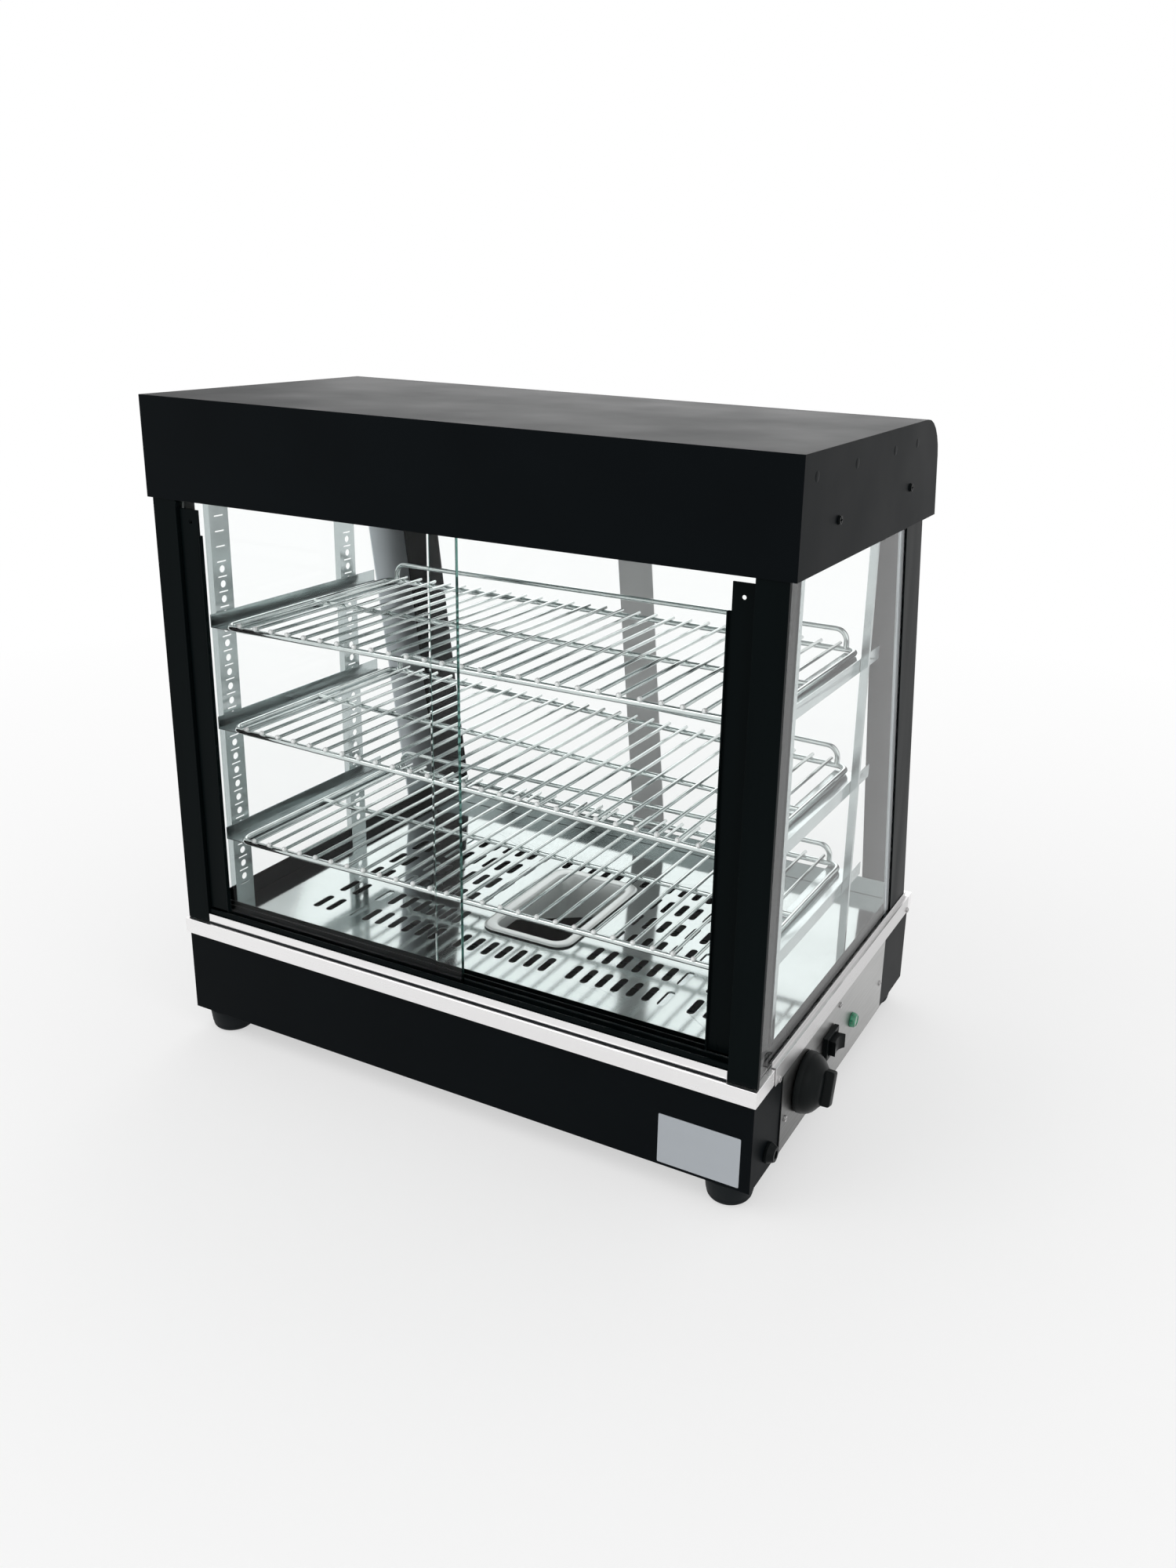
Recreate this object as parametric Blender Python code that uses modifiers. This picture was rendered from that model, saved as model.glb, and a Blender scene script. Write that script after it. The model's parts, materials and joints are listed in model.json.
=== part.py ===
"""Heated display case: counter-top food warmer with sliding doors, three wire shelves and a water pan.

Metres, +Z up. +X is the operator's right, -Y is the operator's side with the sliding doors, and +Y is
the customer's side, where the glass and its posts lean out towards the foot. Everything hangs from the
empty case_frame, whose own origin is the middle of the trim's front edge on the table top.
"""
import math

import bmesh
import bpy
from mathutils import Matrix, Vector

# Case
RIM_WIDTH = 0.660            # stainless trim round the base, over its outer faces
RIM_DEPTH = 0.462
RIM_TOP = 0.1325             # top face of the trim above the table
RIM_FACE_HEIGHT = 0.0165
RIM_SHEET = 0.0012
GAP = 0.0003                 # between two pieces that touch
CUT = 0.005                  # how far a cutter runs past what it cuts
FOOT_HEIGHT = 0.025
CANOPY_BOTTOM = 0.579
CANOPY_TOP = 0.675
CANOPY_OVERHANG = 0.0035     # past the trim at each end
CANOPY_SETBACK = 0.003       # front of the canopy behind the front of the trim
CANOPY_OVER_POSTS = 0.0032    # lower edge past the customer posts
CANOPY_BACK_LEAN = 0.0095    # the back face leans in by this much up to the round edge
CANOPY_EDGE_RADIUS = 0.045
CANOPY_EDGE_STEPS = 6
CANOPY_SHEET = 0.0012
CANOPY_CEILING_RISE = 0.0193  # ceiling panel above the canopy's lower edge
CEILING_SHEET = 0.0012
CUSTOMER_LEAN = math.radians(9.5)
CUSTOMER_FOOT_SETBACK = 0.010   # customer face of the posts inside the trim's far face, at the trim's top

# Base
BASE_INSET = 0.0035          # black base inside the trim's outer faces
BASE_SHEET = 0.0012
BASE_FLANGE = 0.052          # folded-in edges, top and bottom
TRAY_SHEET = 0.001
TRAY_SIDE_INSET = 0.012      # floor tray inside the trim's outer faces
TRAY_FRONT_INSET = 0.032
TRAY_BACK_INSET = 0.022
TRAY_DEPTH = 0.003           # floor below the tray's flange
TRAY_FLANGE = 0.0085
SURROUND_SHEET = 0.0012
SURROUND_HEIGHT = 0.020      # black surround above the floor
BOTTOM_VENT_LENGTH = 0.060
BOTTOM_VENT_WIDTH = 0.005
BOTTOM_VENT_PITCH = 0.014
BOTTOM_VENTS = 6

# Feet
FOOT_RADIUS = 0.024
FOOT_TAPER = 0.003
FOOT_ROUNDING = 0.005
FOOT_ROUNDING_STEPS = 3
FOOT_SIDE_INSET = 0.032
FOOT_FRONT_INSET = 0.028
FOOT_BACK_INSET = 0.028
FOOT_SEGMENTS = 20
FOOT_HOLE_RADIUS = 0.0035
FOOT_HOLE_DEPTH = 0.016

# Floor slots and water pan
SLOT_LENGTH = 0.030
SLOT_WIDTH = 0.008
SLOT_COLUMN_PITCH = 0.0172
SLOT_ROW_PITCH = 0.0449
SLOT_ROWS = 6
SLOT_GROUP_PITCH = 0.135
SLOT_GROUP_COLUMNS = 7
SLOT_EDGE_COLUMNS = 2        # columns in the part groups at the left and right ends
SLOT_ROWS_SHIFT = -0.0054     # middle of the rows from the case's middle, front to back
PUNCHING_OFFSET = 0.0        # middle of the punched pattern from the case's middle
PAN_LENGTH = 0.176
PAN_WIDTH = 0.108
PAN_SHIFT = 0.0025            # middle of the pan from the case's middle, front to back
PAN_RIM = 0.012
PAN_RIM_HEIGHT = 0.0022
PAN_DEPTH = 0.060
PAN_TAPER = 0.006
PAN_SHEET = 0.0012
PAN_CORNER = 0.016
PAN_CORNER_STEPS = 3
PAN_HOLE_CLEARANCE = 0.0015
PAN_LIFT = 0.060             # travel that lifts the pan clear of the floor

# Side and door sills
SILL_SHEET = 0.0008
SIDE_SILL_START = 0.043
SIDE_SILL_END_INSET = 0.016
SIDE_SILL_LEDGE = 0.005
SIDE_SILL_UPSTAND = 0.0052
SIDE_SILL_DROP = 0.001
DOOR_SILL_HEIGHT = 0.010
DOOR_SILL_FOOT = 0.012
DOOR_SILL_SETBACK = 0.0045

# Front posts
POST_SHEET = 0.0015
FRONT_POST_INSET = 0.0025
FRONT_POST_SETBACK = 0.0045
FRONT_POST_WIDTH = 0.0285
FRONT_POST_LIP = 0.005
FRONT_POST_JAMB = 0.026
FRONT_POST_LEG = 0.036

# Side glass, customer posts and customer glass
GLASS = 0.004
SIDE_GLASS_INSET = 0.0066
SIDE_GLASS_FRONT = 0.0062
CUSTOMER_POST_SKIN = 0.001
CUSTOMER_POST_INSET = 0.0053
CUSTOMER_POST_SIDE = 0.060
CUSTOMER_POST_FACE = 0.054
CUSTOMER_POST_RADIUS = 0.009
CUSTOMER_POST_STEPS = 4
CUSTOMER_FACE_SHEET = 0.002
RETAINER_THICKNESS = 0.0021
RETAINER_WIDTH = 0.062
RETAINER_BACK_CLEARANCE = 0.0016
STRIP_WIDTH = 0.042
STRIP_THICKNESS = 0.0012

# Sliding doors
TRACK_FRONT = 0.0065
TRACK_RIB = 0.002
TRACK_MIDDLE_RIB = 0.003
TRACK_GROOVE = 0.007
TRACK_FLOOR = 0.002
TRACK_HEIGHT = 0.014
TRACK_TOP_HEIGHT = 0.012
DOOR_OVERLAP = 0.037
DOOR_JAMB_CLEARANCE = 0.0010
DOOR_RUN_CLEARANCE = 0.0005   # glass above the groove's floor
DOOR_TOP_CLEARANCE = 0.003
DOOR_END_CLEARANCE = 0.002    # left at the far jamb when a door is fully open
HANDLE_SHEET = 0.0015
HANDLE_WIDTH = 0.0265
HANDLE_LIP = 0.0045
HANDLE_FOOT_CLEARANCE = 0.002
HANDLE_TOP_SETBACK = 0.008    # top of the handle below the canopy's lower edge
HANDLE_NOTCH = 0.024
HANDLE_HOLE_RADIUS = 0.002
HANDLE_HOLE_DROP = 0.012

# Shelf strips, rails and wire shelves
STRIP_INSET = 0.022           # perforated face inside the trim's outer face
PERFORATED_SHEET = 0.0008
PERFORATED_FACE = 0.0262
PERFORATED_LEG = 0.0065
FRONT_STRIP_Y = 0.057
BACK_STRIP_SETBACK = 0.2085   # strips nearer the customer, from the trim's far face
HOLE_PITCH = 0.0155
HOLE_RADIUS = 0.00375
HOLE_SIDES = 6
HOLE_COUNT = 23
TOP_HOLE_Z = 0.4999
RAIL_SHEET = 0.001
RAIL_HEIGHT = 0.0135
RAIL_LEDGE = 0.035
RAIL_START = 0.048
RAIL_END_SETBACK = 0.150
PEG_RADIUS = 0.0028
PEG_SIDES = 8
PEG_REACH = 0.0035
PEG_ABOVE_LEDGE = 0.010     # pegs above the rail's underside
LEFT_RAIL_HOLES = (3, 10, 18)
RIGHT_RAIL_HOLES = (3, 11, 18)
ROD_RADIUS = 0.0028
WIRE_RADIUS = 0.0018
WIRE_SINK = 0.0009            # how deep a wire is welded into the rods
SHELF_FRONT = 0.045
SHELF_BACK_SETBACK = 0.150    # shelf's far rod from the trim's far face
SHELF_SIDE_INSET = 0.0444
SHELF_CORNER = 0.010
SHELF_CORNER_STEPS = 3
WIRE_COUNT = 27
WIRE_BACK_OVERRUN = 0.008
UPSTAND_HEIGHT = 0.020
UPSTAND_INSET = 0.012
SHELF_TILT_LIFT = 0.0006

# Control end
PANEL_START = 0.070
PANEL_END_SETBACK = 0.089     # control panel's far edge from the trim's far face
PANEL_BOTTOM = 0.027
PANEL_TOP = 0.113
PANEL_SHEET = 0.001
WINDOW_MARGIN = 0.012
KNOB_Y = 0.124
KNOB_Z = 0.0745
KNOB_RADIUS = 0.030
KNOB_SKIRT = 0.0055
KNOB_DOME_RADIUS = 0.0292
KNOB_DOME = 0.022
KNOB_DOME_FOOT_RADIUS = 0.0294
KNOB_DOME_SHARES = ((0.54, 0.985), (0.62, 0.94), (0.75, 0.78), (0.89, 0.62), (0.98, 0.47))    # of the dome's radius and height, from its top down
KNOB_BAR_TOP_SHARE = 0.92    # the grip's length at its top, of that at its foot
KNOB_HEIGHT = 0.0298
KNOB_BAR_WIDTH = 0.0115
KNOB_BAR_LENGTH = 0.036
KNOB_BAR_TURN = math.radians(-18)    # the grip's lean at the lowest setting
KNOB_SEGMENTS = 32
KNOB_STAND_OFF = 0.0012
KNOB_BORE_DEPTH = 0.014
SHAFT_RADIUS = 0.003
SHAFT_CLEARANCE = 0.0004
SHAFT_REACH = 0.013
SHAFT_ROOT = 0.0006           # how deep the shaft is set in the body
SHAFT_HOLE_CLEARANCE = 0.0006
THERMOSTAT_BODY_RADIUS = 0.021
THERMOSTAT_BODY_DEPTH = 0.034
THERMOSTAT_SEGMENTS = 20
SWITCH_Y = 0.194
SWITCH_Z = 0.079
SWITCH_WIDTH = 0.033
SWITCH_HEIGHT = 0.025
SWITCH_BEZEL = 0.005
SWITCH_BODY_MARGIN = 0.0025
SWITCH_BODY_DEPTH = 0.024
SWITCH_WALL = 0.0015
ROCKER_CLEARANCE = 0.0006
ROCKER_FAR_RAISE = 0.0092
ROCKER_NEAR_RAISE = 0.0066
ROCKER_MIDDLE_RAISE = 0.0048
ROCKER_DEPTH = 0.004
ROCKER_FOOT_SHARE = 0.86      # of the key's half width: at its back, its near end and its far end
ROCKER_NEAR_SHARE = 0.96
ROCKER_FAR_SHARE = 0.93
ROCKER_POCKET_DEPTH = 0.014
ROCKER_AXLE_DEPTH = 0.0015    # pivot behind the panel's face
PILOT_Y = 0.269
PILOT_Z = 0.0655
PILOT_RADIUS = 0.008
PILOT_HEIGHT = 0.0055
PILOT_DOME_SHARES = ((0.5, 0.94), (0.85, 0.66), (1.0, 0.25))    # of the lens's radius and height
PILOT_STEM_RADIUS = 0.0055
PILOT_STEM_DEPTH = 0.004
PILOT_BODY_RADIUS = 0.0075
PILOT_BODY_DEPTH = 0.022
PILOT_SEGMENTS = 20
PILOT_HOLE_CLEARANCE = 0.0004
GLAND_Y = 0.042
GLAND_Z = 0.046
GLAND_RADIUS = 0.010
GLAND_HEIGHT = 0.009
GLAND_TOP_RADIUS = 0.007
GLAND_SHOULDER = 0.003        # height where the gland's nose starts to narrow
GLAND_STEM_RADIUS = 0.0065
GLAND_STEM_DEPTH = 0.008
GLAND_NUT_RADIUS = 0.009
GLAND_NUT_DEPTH = 0.004
GLAND_BORE_RADIUS = 0.0038
GLAND_SEGMENTS = 16

# Heating inside the base
HEATER_RADIUS = 0.004
HEATER_DROP = 0.018           # heater's middle below the floor
HEATER_SIDE_INSET = 0.060
HEATER_FRONT = 0.105
HEATER_BACK_SETBACK = 0.077
HEATER_TAIL_INSET = 0.075
HEATER_CORNER = 0.020
HEATER_CORNER_STEPS = 4
HANGER_WIDTH = 0.012
HANGER_SHEET = 0.0025
HANGER_HOOK = 0.0045
HANGER_INSET = 0.140          # each hanger's middle from the trim's end
BULB_RADIUS = 0.003
CAPILLARY_RADIUS = 0.001
CAPILLARY_RISE_SHARES = (0.125, 0.75)    # of the climb from the thermostat to the bulb, at its two bends
BULB_LENGTH = 0.090
BULB_NECK = 0.006
BULB_INSET = 0.095            # from the right-hand end of the trim
BULB_START = 0.150            # near end of the bulb, from the trim's front face
BLOCK_LENGTH = 0.056
BLOCK_WIDTH = 0.026
BLOCK_HEIGHT = 0.020
BLOCK_INSET = 0.070
BLOCK_SETBACK = 0.172
BLOCK_WAYS = 5
BLOCK_SCREW_RADIUS = 0.0028
BLOCK_SCREW_DEPTH = 0.006

# Lamp inside the canopy
LAMP_RADIUS = 0.0065
LAMP_LENGTH = 0.420
LAMP_Y = 0.110
LAMP_DROP = 0.0115            # lamp's middle below the ceiling panel
LAMP_SEGMENTS = 12
BATTEN_WIDTH = 0.022
BATTEN_HEIGHT = 0.0035
SOCKET_LENGTH = 0.010
SOCKET_HEIGHT = 0.018

# Places worked out from the sizes above
HALF_WIDTH = RIM_WIDTH / 2
BASE_BOTTOM = FOOT_HEIGHT
BASE_HALF = HALF_WIDTH - BASE_INSET
BASE_FRONT = BASE_INSET
BASE_BACK = RIM_DEPTH - BASE_INSET
RIM_LEDGE_UNDER = RIM_TOP - RIM_SHEET
TRAY_TOP = RIM_LEDGE_UNDER - GAP
FLOOR_TOP = TRAY_TOP - TRAY_DEPTH
SHELL_TOP = TRAY_TOP - TRAY_SHEET - GAP
TRAY_HALF = HALF_WIDTH - TRAY_SIDE_INSET
TRAY_FRONT = TRAY_FRONT_INSET
TRAY_BACK = RIM_DEPTH - TRAY_BACK_INSET
POST_FOOT = RIM_TOP + GAP
CEILING_UNDER = CANOPY_BOTTOM + CANOPY_CEILING_RISE
INSIDE_TOP = CEILING_UNDER - GAP
CUSTOMER_FOOT_Y = RIM_DEPTH - CUSTOMER_FOOT_SETBACK
CANOPY_FOOT_Y = CUSTOMER_FOOT_Y - (CANOPY_BOTTOM - RIM_TOP) * math.tan(CUSTOMER_LEAN) + CANOPY_OVER_POSTS
SLOT_FIRST_ROW = RIM_DEPTH / 2 + SLOT_ROWS_SHIFT - (SLOT_ROWS - 1) / 2 * SLOT_ROW_PITCH
BACK_STRIP_Y = RIM_DEPTH - BACK_STRIP_SETBACK
RAIL_END = RIM_DEPTH - RAIL_END_SETBACK
SHELF_BACK = RIM_DEPTH - SHELF_BACK_SETBACK
SHELF_MIDDLE = (SHELF_FRONT + SHELF_BACK) / 2
SHELF_HALF = HALF_WIDTH - SHELF_SIDE_INSET
WIRE_PITCH = 2 * SHELF_HALF / (WIRE_COUNT + 1)
PANEL_END = RIM_DEPTH - PANEL_END_SETBACK
HEATER_BACK = RIM_DEPTH - HEATER_BACK_SETBACK
HANGER_OFFSET = HALF_WIDTH - HANGER_INSET
BLOCK_Y = RIM_DEPTH - BLOCK_SETBACK
CANOPY_HALF = HALF_WIDTH + CANOPY_OVERHANG
PANEL_FACE = BASE_HALF + GAP + PANEL_SHEET
BASE_PLATE_Z = BASE_BOTTOM + BASE_SHEET + GAP
LEDGE_TOP_OVER_HOLE = RAIL_SHEET - PEG_ABOVE_LEDGE
DOOR_OUTER_Y = TRACK_FRONT + TRACK_RIB + (TRACK_GROOVE - GLASS) / 2
DOOR_INNER_Y = DOOR_OUTER_Y + TRACK_GROOVE + TRACK_MIDDLE_RIB
JAMB_X = HALF_WIDTH - FRONT_POST_INSET - FRONT_POST_WIDTH
TRACK_DEPTH = 2 * TRACK_RIB + TRACK_MIDDLE_RIB + 2 * TRACK_GROOVE
TRACK_UNDER = POST_FOOT + SILL_SHEET + GAP
DOOR_BOTTOM = TRACK_UNDER + TRACK_FLOOR + DOOR_RUN_CLEARANCE
DOOR_TOP = INSIDE_TOP - TRACK_FLOOR - DOOR_TOP_CLEARANCE
DOOR_HALF_LAP = DOOR_OVERLAP / 2
HANDLE_BOTTOM = TRACK_UNDER + TRACK_HEIGHT + HANDLE_FOOT_CLEARANCE
HANDLE_TOP = CANOPY_BOTTOM - HANDLE_TOP_SETBACK
PAN_CENTRE_Y = RIM_DEPTH / 2 + PAN_SHIFT
KNOB_TIP = PANEL_FACE + KNOB_STAND_OFF + KNOB_HEIGHT
CASE_FRAME_X = (CANOPY_HALF - KNOB_TIP) / 2
CASE_FRAME_Y = -RIM_DEPTH / 2

UNIT = 1.0
LEAN_RATIO = math.tan(CUSTOMER_LEAN)


def start_clean():
    """Remove whatever the open scene holds and make the two collections."""
    for old in list(bpy.data.objects):
        bpy.data.objects.remove(old, do_unlink=True)
    made = []
    for name in ("heated_display_case", "cutters"):
        collection = bpy.data.collections.new(name)
        bpy.context.scene.collection.children.link(collection)
        made.append(collection)
    return made


PARTS, CUTTERS = start_clean()
FRAME = bpy.data.objects.new("case_frame", None)
FRAME.location = (CASE_FRAME_X, CASE_FRAME_Y, 0)
PARTS.objects.link(FRAME)


def finish(name, colour, roughness, metallic=0.0, alpha=1.0):
    """A Principled material named after its finish."""
    material = bpy.data.materials.new(name)
    material.use_nodes = True
    shader = material.node_tree.nodes["Principled BSDF"]
    shader.inputs["Base Color"].default_value = (*colour, 1.0)
    shader.inputs["Roughness"].default_value = roughness
    shader.inputs["Metallic"].default_value = metallic
    shader.inputs["Alpha"].default_value = alpha
    return material


BLACK_PAINT = finish("black_powder_coat", (0.011, 0.013, 0.015), 0.45)
STAINLESS = finish("brushed_stainless", (0.62, 0.62, 0.61), 0.30, 1.0)
MIRROR_STEEL = finish("polished_stainless", (0.70, 0.73, 0.73), 0.12, 1.0)
ALUMINIUM = finish("plain_aluminium", (0.50, 0.53, 0.54), 0.40, 1.0)
CHROME = finish("chrome_wire", (0.72, 0.75, 0.75), 0.10, 1.0)
CLEAR_GLASS = finish("clear_glass", (0.86, 0.93, 0.91), 0.02, 0.0, 0.15)
BLACK_ANODISED = finish("black_anodised_profile", (0.008, 0.012, 0.014), 0.35, 0.2)
BLACK_RUBBER = finish("black_rubber", (0.015, 0.015, 0.016), 0.75)
BLACK_PLASTIC = finish("black_plastic", (0.012, 0.012, 0.013), 0.35)
GREEN_LENS = finish("green_lens", (0.01, 0.35, 0.20), 0.15)
HEATER_STEEL = finish("heater_sheath", (0.12, 0.12, 0.11), 0.50, 1.0)
CERAMIC = finish("white_ceramic", (0.80, 0.78, 0.72), 0.60)
STRIP_GREY = finish("pale_grey_strip", (0.60, 0.60, 0.60), 0.50)
OPAL_GLASS = finish("opal_lamp_glass", (0.85, 0.85, 0.82), 0.30)


def as_part(name, mesh, material, parent=None):
    """Put a mesh given in case coordinates under its carrier, with its origin on the carrier's."""
    carrier = parent or FRAME
    if parent:
        mesh.transform(Matrix.Translation(-parent.location))
    mesh.name = name
    mesh.materials.clear()
    mesh.materials.append(material)
    part = bpy.data.objects.new(name, mesh)
    part.parent = carrier
    PARTS.objects.link(part)
    return part


def axis_empty(name, place):
    """An empty on a joint's axis, in case coordinates."""
    empty = bpy.data.objects.new(name, None)
    empty.location = place
    empty.parent = FRAME
    PARTS.objects.link(empty)
    return empty


def mesh_from(bm):
    mesh = bpy.data.meshes.new("shape")
    bm.to_mesh(mesh)
    bm.free()
    return mesh


def add_block(bm, low, high):
    """A box between two corners, made from a unit cube."""
    size = [top - bottom for bottom, top in zip(low, high)]
    middle = [(top + bottom) / 2 for bottom, top in zip(low, high)]
    placing = Matrix.Translation(middle) @ Matrix.Diagonal((*size, UNIT))
    bmesh.ops.create_cube(bm, size=UNIT, matrix=placing)


def block(low, high):
    bm = bmesh.new()
    add_block(bm, low, high)
    return mesh_from(bm)


AXIS_TURN = {
    "X": Matrix(((0, 0, 1), (1, 0, 0), (0, 1, 0))).to_4x4(),
    "Y": Matrix(((1, 0, 0), (0, 0, -1), (0, 1, 0))).to_4x4(),
    "Z": Matrix.Identity(4),
}
AXIS_LINE = {"X": Vector((1, 0, 0)), "Y": Vector((0, 1, 0)), "Z": Vector((0, 0, 1))}


def mesh_of_curve(curve, placing):
    """Mesh a curve, weld its caps and put it where it belongs."""
    holder = bpy.data.objects.new("outline", curve)
    CUTTERS.objects.link(holder)
    bpy.context.view_layer.update()
    mesh = bpy.data.meshes.new_from_object(holder.evaluated_get(bpy.context.evaluated_depsgraph_get()))
    bpy.data.objects.remove(holder, do_unlink=True)
    bm = bmesh.new()
    bm.from_mesh(mesh)
    bmesh.ops.remove_doubles(bm, verts=bm.verts, dist=GAP / 100)
    bmesh.ops.recalc_face_normals(bm, faces=bm.faces)
    bm.to_mesh(mesh)
    bm.free()
    mesh.transform(placing)
    return mesh


def prism(outlines, axis, start, end):
    """Flat outlines filled and given a thickness from start to end along an axis.

    An outline's points are (y, z) for X, (x, z) for Y and (x, y) for Z. Later outlines are holes.
    """
    curve = bpy.data.curves.new("outline", "CURVE")
    curve.dimensions = "2D"
    curve.fill_mode = "BOTH"
    curve.extrude = (end - start) / 2
    for outline in outlines:
        spline = curve.splines.new("POLY")
        spline.points.add(len(outline) - 1)
        spline.use_cyclic_u = True
        for point, (across, up) in zip(spline.points, outline):
            point.co = (across, up, 0, 1)
    placing = Matrix.Translation(AXIS_LINE[axis] * (start + end) / 2) @ AXIS_TURN[axis]
    return mesh_of_curve(curve, placing)


def tube(points, radius, resolution=1, cyclic=False, radii=None):
    """A round rod along points; resolution 0 gives four sides, 1 gives six and 2 gives eight."""
    curve = bpy.data.curves.new("rod", "CURVE")
    curve.dimensions = "3D"
    curve.bevel_depth = radius
    curve.bevel_resolution = resolution
    curve.use_fill_caps = not cyclic
    spline = curve.splines.new("POLY")
    spline.points.add(len(points) - 1)
    spline.use_cyclic_u = cyclic
    for index, (point, place) in enumerate(zip(spline.points, points)):
        point.co = (*place, 1)
        point.radius = radii[index] / radius if radii else 1
    return mesh_of_curve(curve, Matrix.Identity(4))


def turned(profile, segments, centre, axis="Z"):
    """Spin a profile of (radius, height) about an axis through centre, from top to bottom."""
    mesh = bpy.data.meshes.new("profile")
    mesh.from_pydata([(radius, 0, height) for radius, height in profile],
                     [(index, index + 1) for index in range(len(profile) - 1)], [])
    holder = bpy.data.objects.new("profile", mesh)
    CUTTERS.objects.link(holder)
    screw = holder.modifiers.new("Screw", "SCREW")
    screw.steps = screw.render_steps = segments
    screw.use_merge_vertices = True
    screw.merge_threshold = GAP / 100
    bpy.context.view_layer.update()
    spun = bpy.data.meshes.new_from_object(holder.evaluated_get(bpy.context.evaluated_depsgraph_get()))
    bpy.data.objects.remove(holder, do_unlink=True)
    bm = bmesh.new()
    bm.from_mesh(spun)
    bmesh.ops.remove_doubles(bm, verts=bm.verts, dist=GAP / 100)
    bmesh.ops.recalc_face_normals(bm, faces=bm.faces)
    bm.to_mesh(spun)
    bm.free()
    turn = Matrix.Rotation(math.pi / 2, 4, "Y") if axis == "X" else Matrix.Identity(4)
    spun.transform(Matrix.Translation(centre) @ turn)
    return spun


def combined(mesh, other, operation):
    """One mesh cut by, or joined to, another."""
    holders = []
    for shape in (mesh, other):
        holder = bpy.data.objects.new("shape", shape)
        holder.hide_render = True
        holder.display_type = "WIRE"
        CUTTERS.objects.link(holder)
        holders.append(holder)
    boolean = holders[0].modifiers.new("Boolean", "BOOLEAN")
    boolean.operation = operation
    boolean.solver = "EXACT"
    boolean.object = holders[1]
    bpy.context.view_layer.update()
    depsgraph = bpy.context.evaluated_depsgraph_get()
    result = bpy.data.meshes.new_from_object(holders[0].evaluated_get(depsgraph))
    for holder in holders:
        bpy.data.objects.remove(holder, do_unlink=True)
    bm = bmesh.new()
    bm.from_mesh(result)
    bmesh.ops.remove_doubles(bm, verts=bm.verts, dist=GAP / 1000)
    bmesh.ops.dissolve_limit(bm, angle_limit=math.radians(0.05), verts=bm.verts, edges=bm.edges)
    bm.to_mesh(result)
    bm.free()
    return result


def cut(mesh, *tools):
    for tool in tools:
        mesh = combined(mesh, tool, "DIFFERENCE")
    return mesh


def join(mesh, *others):
    for other in others:
        mesh = combined(mesh, other, "UNION")
    return mesh


def merged(meshes):
    """Several separate shapes in one mesh, to cut or join in one go."""
    bm = bmesh.new()
    for mesh in meshes:
        bm.from_mesh(mesh)
    return mesh_from(bm)


def mirrored(outline):
    """The same outline on the other side of the case."""
    return [(-across, up) for across, up in outline]


def arc(centre, radius, start, end, steps):
    """Points on an arc between two angles in degrees."""
    points = []
    for step in range(steps + 1):
        angle = math.radians(start + (end - start) * step / steps)
        points.append((centre[0] + radius * math.cos(angle), centre[1] + radius * math.sin(angle)))
    return points


def rounded_rectangle(low, high, radius, steps):
    """A rectangle with round corners, anticlockwise."""
    points = []
    corners = (((high[0] - radius, low[1] + radius), -90), ((high[0] - radius, high[1] - radius), 0),
               ((low[0] + radius, high[1] - radius), 90), ((low[0] + radius, low[1] + radius), 180))
    for centre, start in corners:
        points += arc(centre, radius, start, start + 90, steps)
    return points


def customer_y(height):
    """Customer face of the leaning posts at a height."""
    return CUSTOMER_FOOT_Y - (height - RIM_TOP) * LEAN_RATIO


def leaned(mesh):
    """Shear an upright shape, drawn where it stands at the trim's top, to the customer side's lean."""
    shear = Matrix.Identity(4)
    shear[1][2] = -LEAN_RATIO
    shear[1][3] = LEAN_RATIO * RIM_TOP
    mesh.transform(shear)
    return mesh


def sides():
    """Left and right, with the sign of x."""
    return (("left", -1), ("right", 1))


def inset(sign, distance):
    """An x at a distance inside the trim's outer face on one side."""
    return sign * (HALF_WIDTH - distance)


def span(sign, outer, inner):
    """Low and high x between two insets on one side."""
    return sorted((inset(sign, outer), inset(sign, inner)))


def box_between(x_range, y_range, z_range):
    return block(*zip(x_range, y_range, z_range))


def make_feet():
    low_radius = FOOT_RADIUS - FOOT_TAPER
    top = FOOT_HEIGHT - GAP
    profile = [(0, top), (FOOT_RADIUS, top), (low_radius, FOOT_ROUNDING)]
    profile += arc((low_radius - FOOT_ROUNDING, FOOT_ROUNDING), FOOT_ROUNDING, 0, -90, FOOT_ROUNDING_STEPS)[1:]
    profile += [(FOOT_HOLE_RADIUS, 0), (FOOT_HOLE_RADIUS, FOOT_HOLE_DEPTH), (0, FOOT_HOLE_DEPTH)]
    places = {"front": FOOT_FRONT_INSET, "back": RIM_DEPTH - FOOT_BACK_INSET}
    for end, place_y in places.items():
        for side, sign in sides():
            foot = turned(profile, FOOT_SEGMENTS, (inset(sign, FOOT_SIDE_INSET), place_y, 0))
            as_part(f"foot_{end}_{side}", foot, BLACK_RUBBER)


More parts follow.
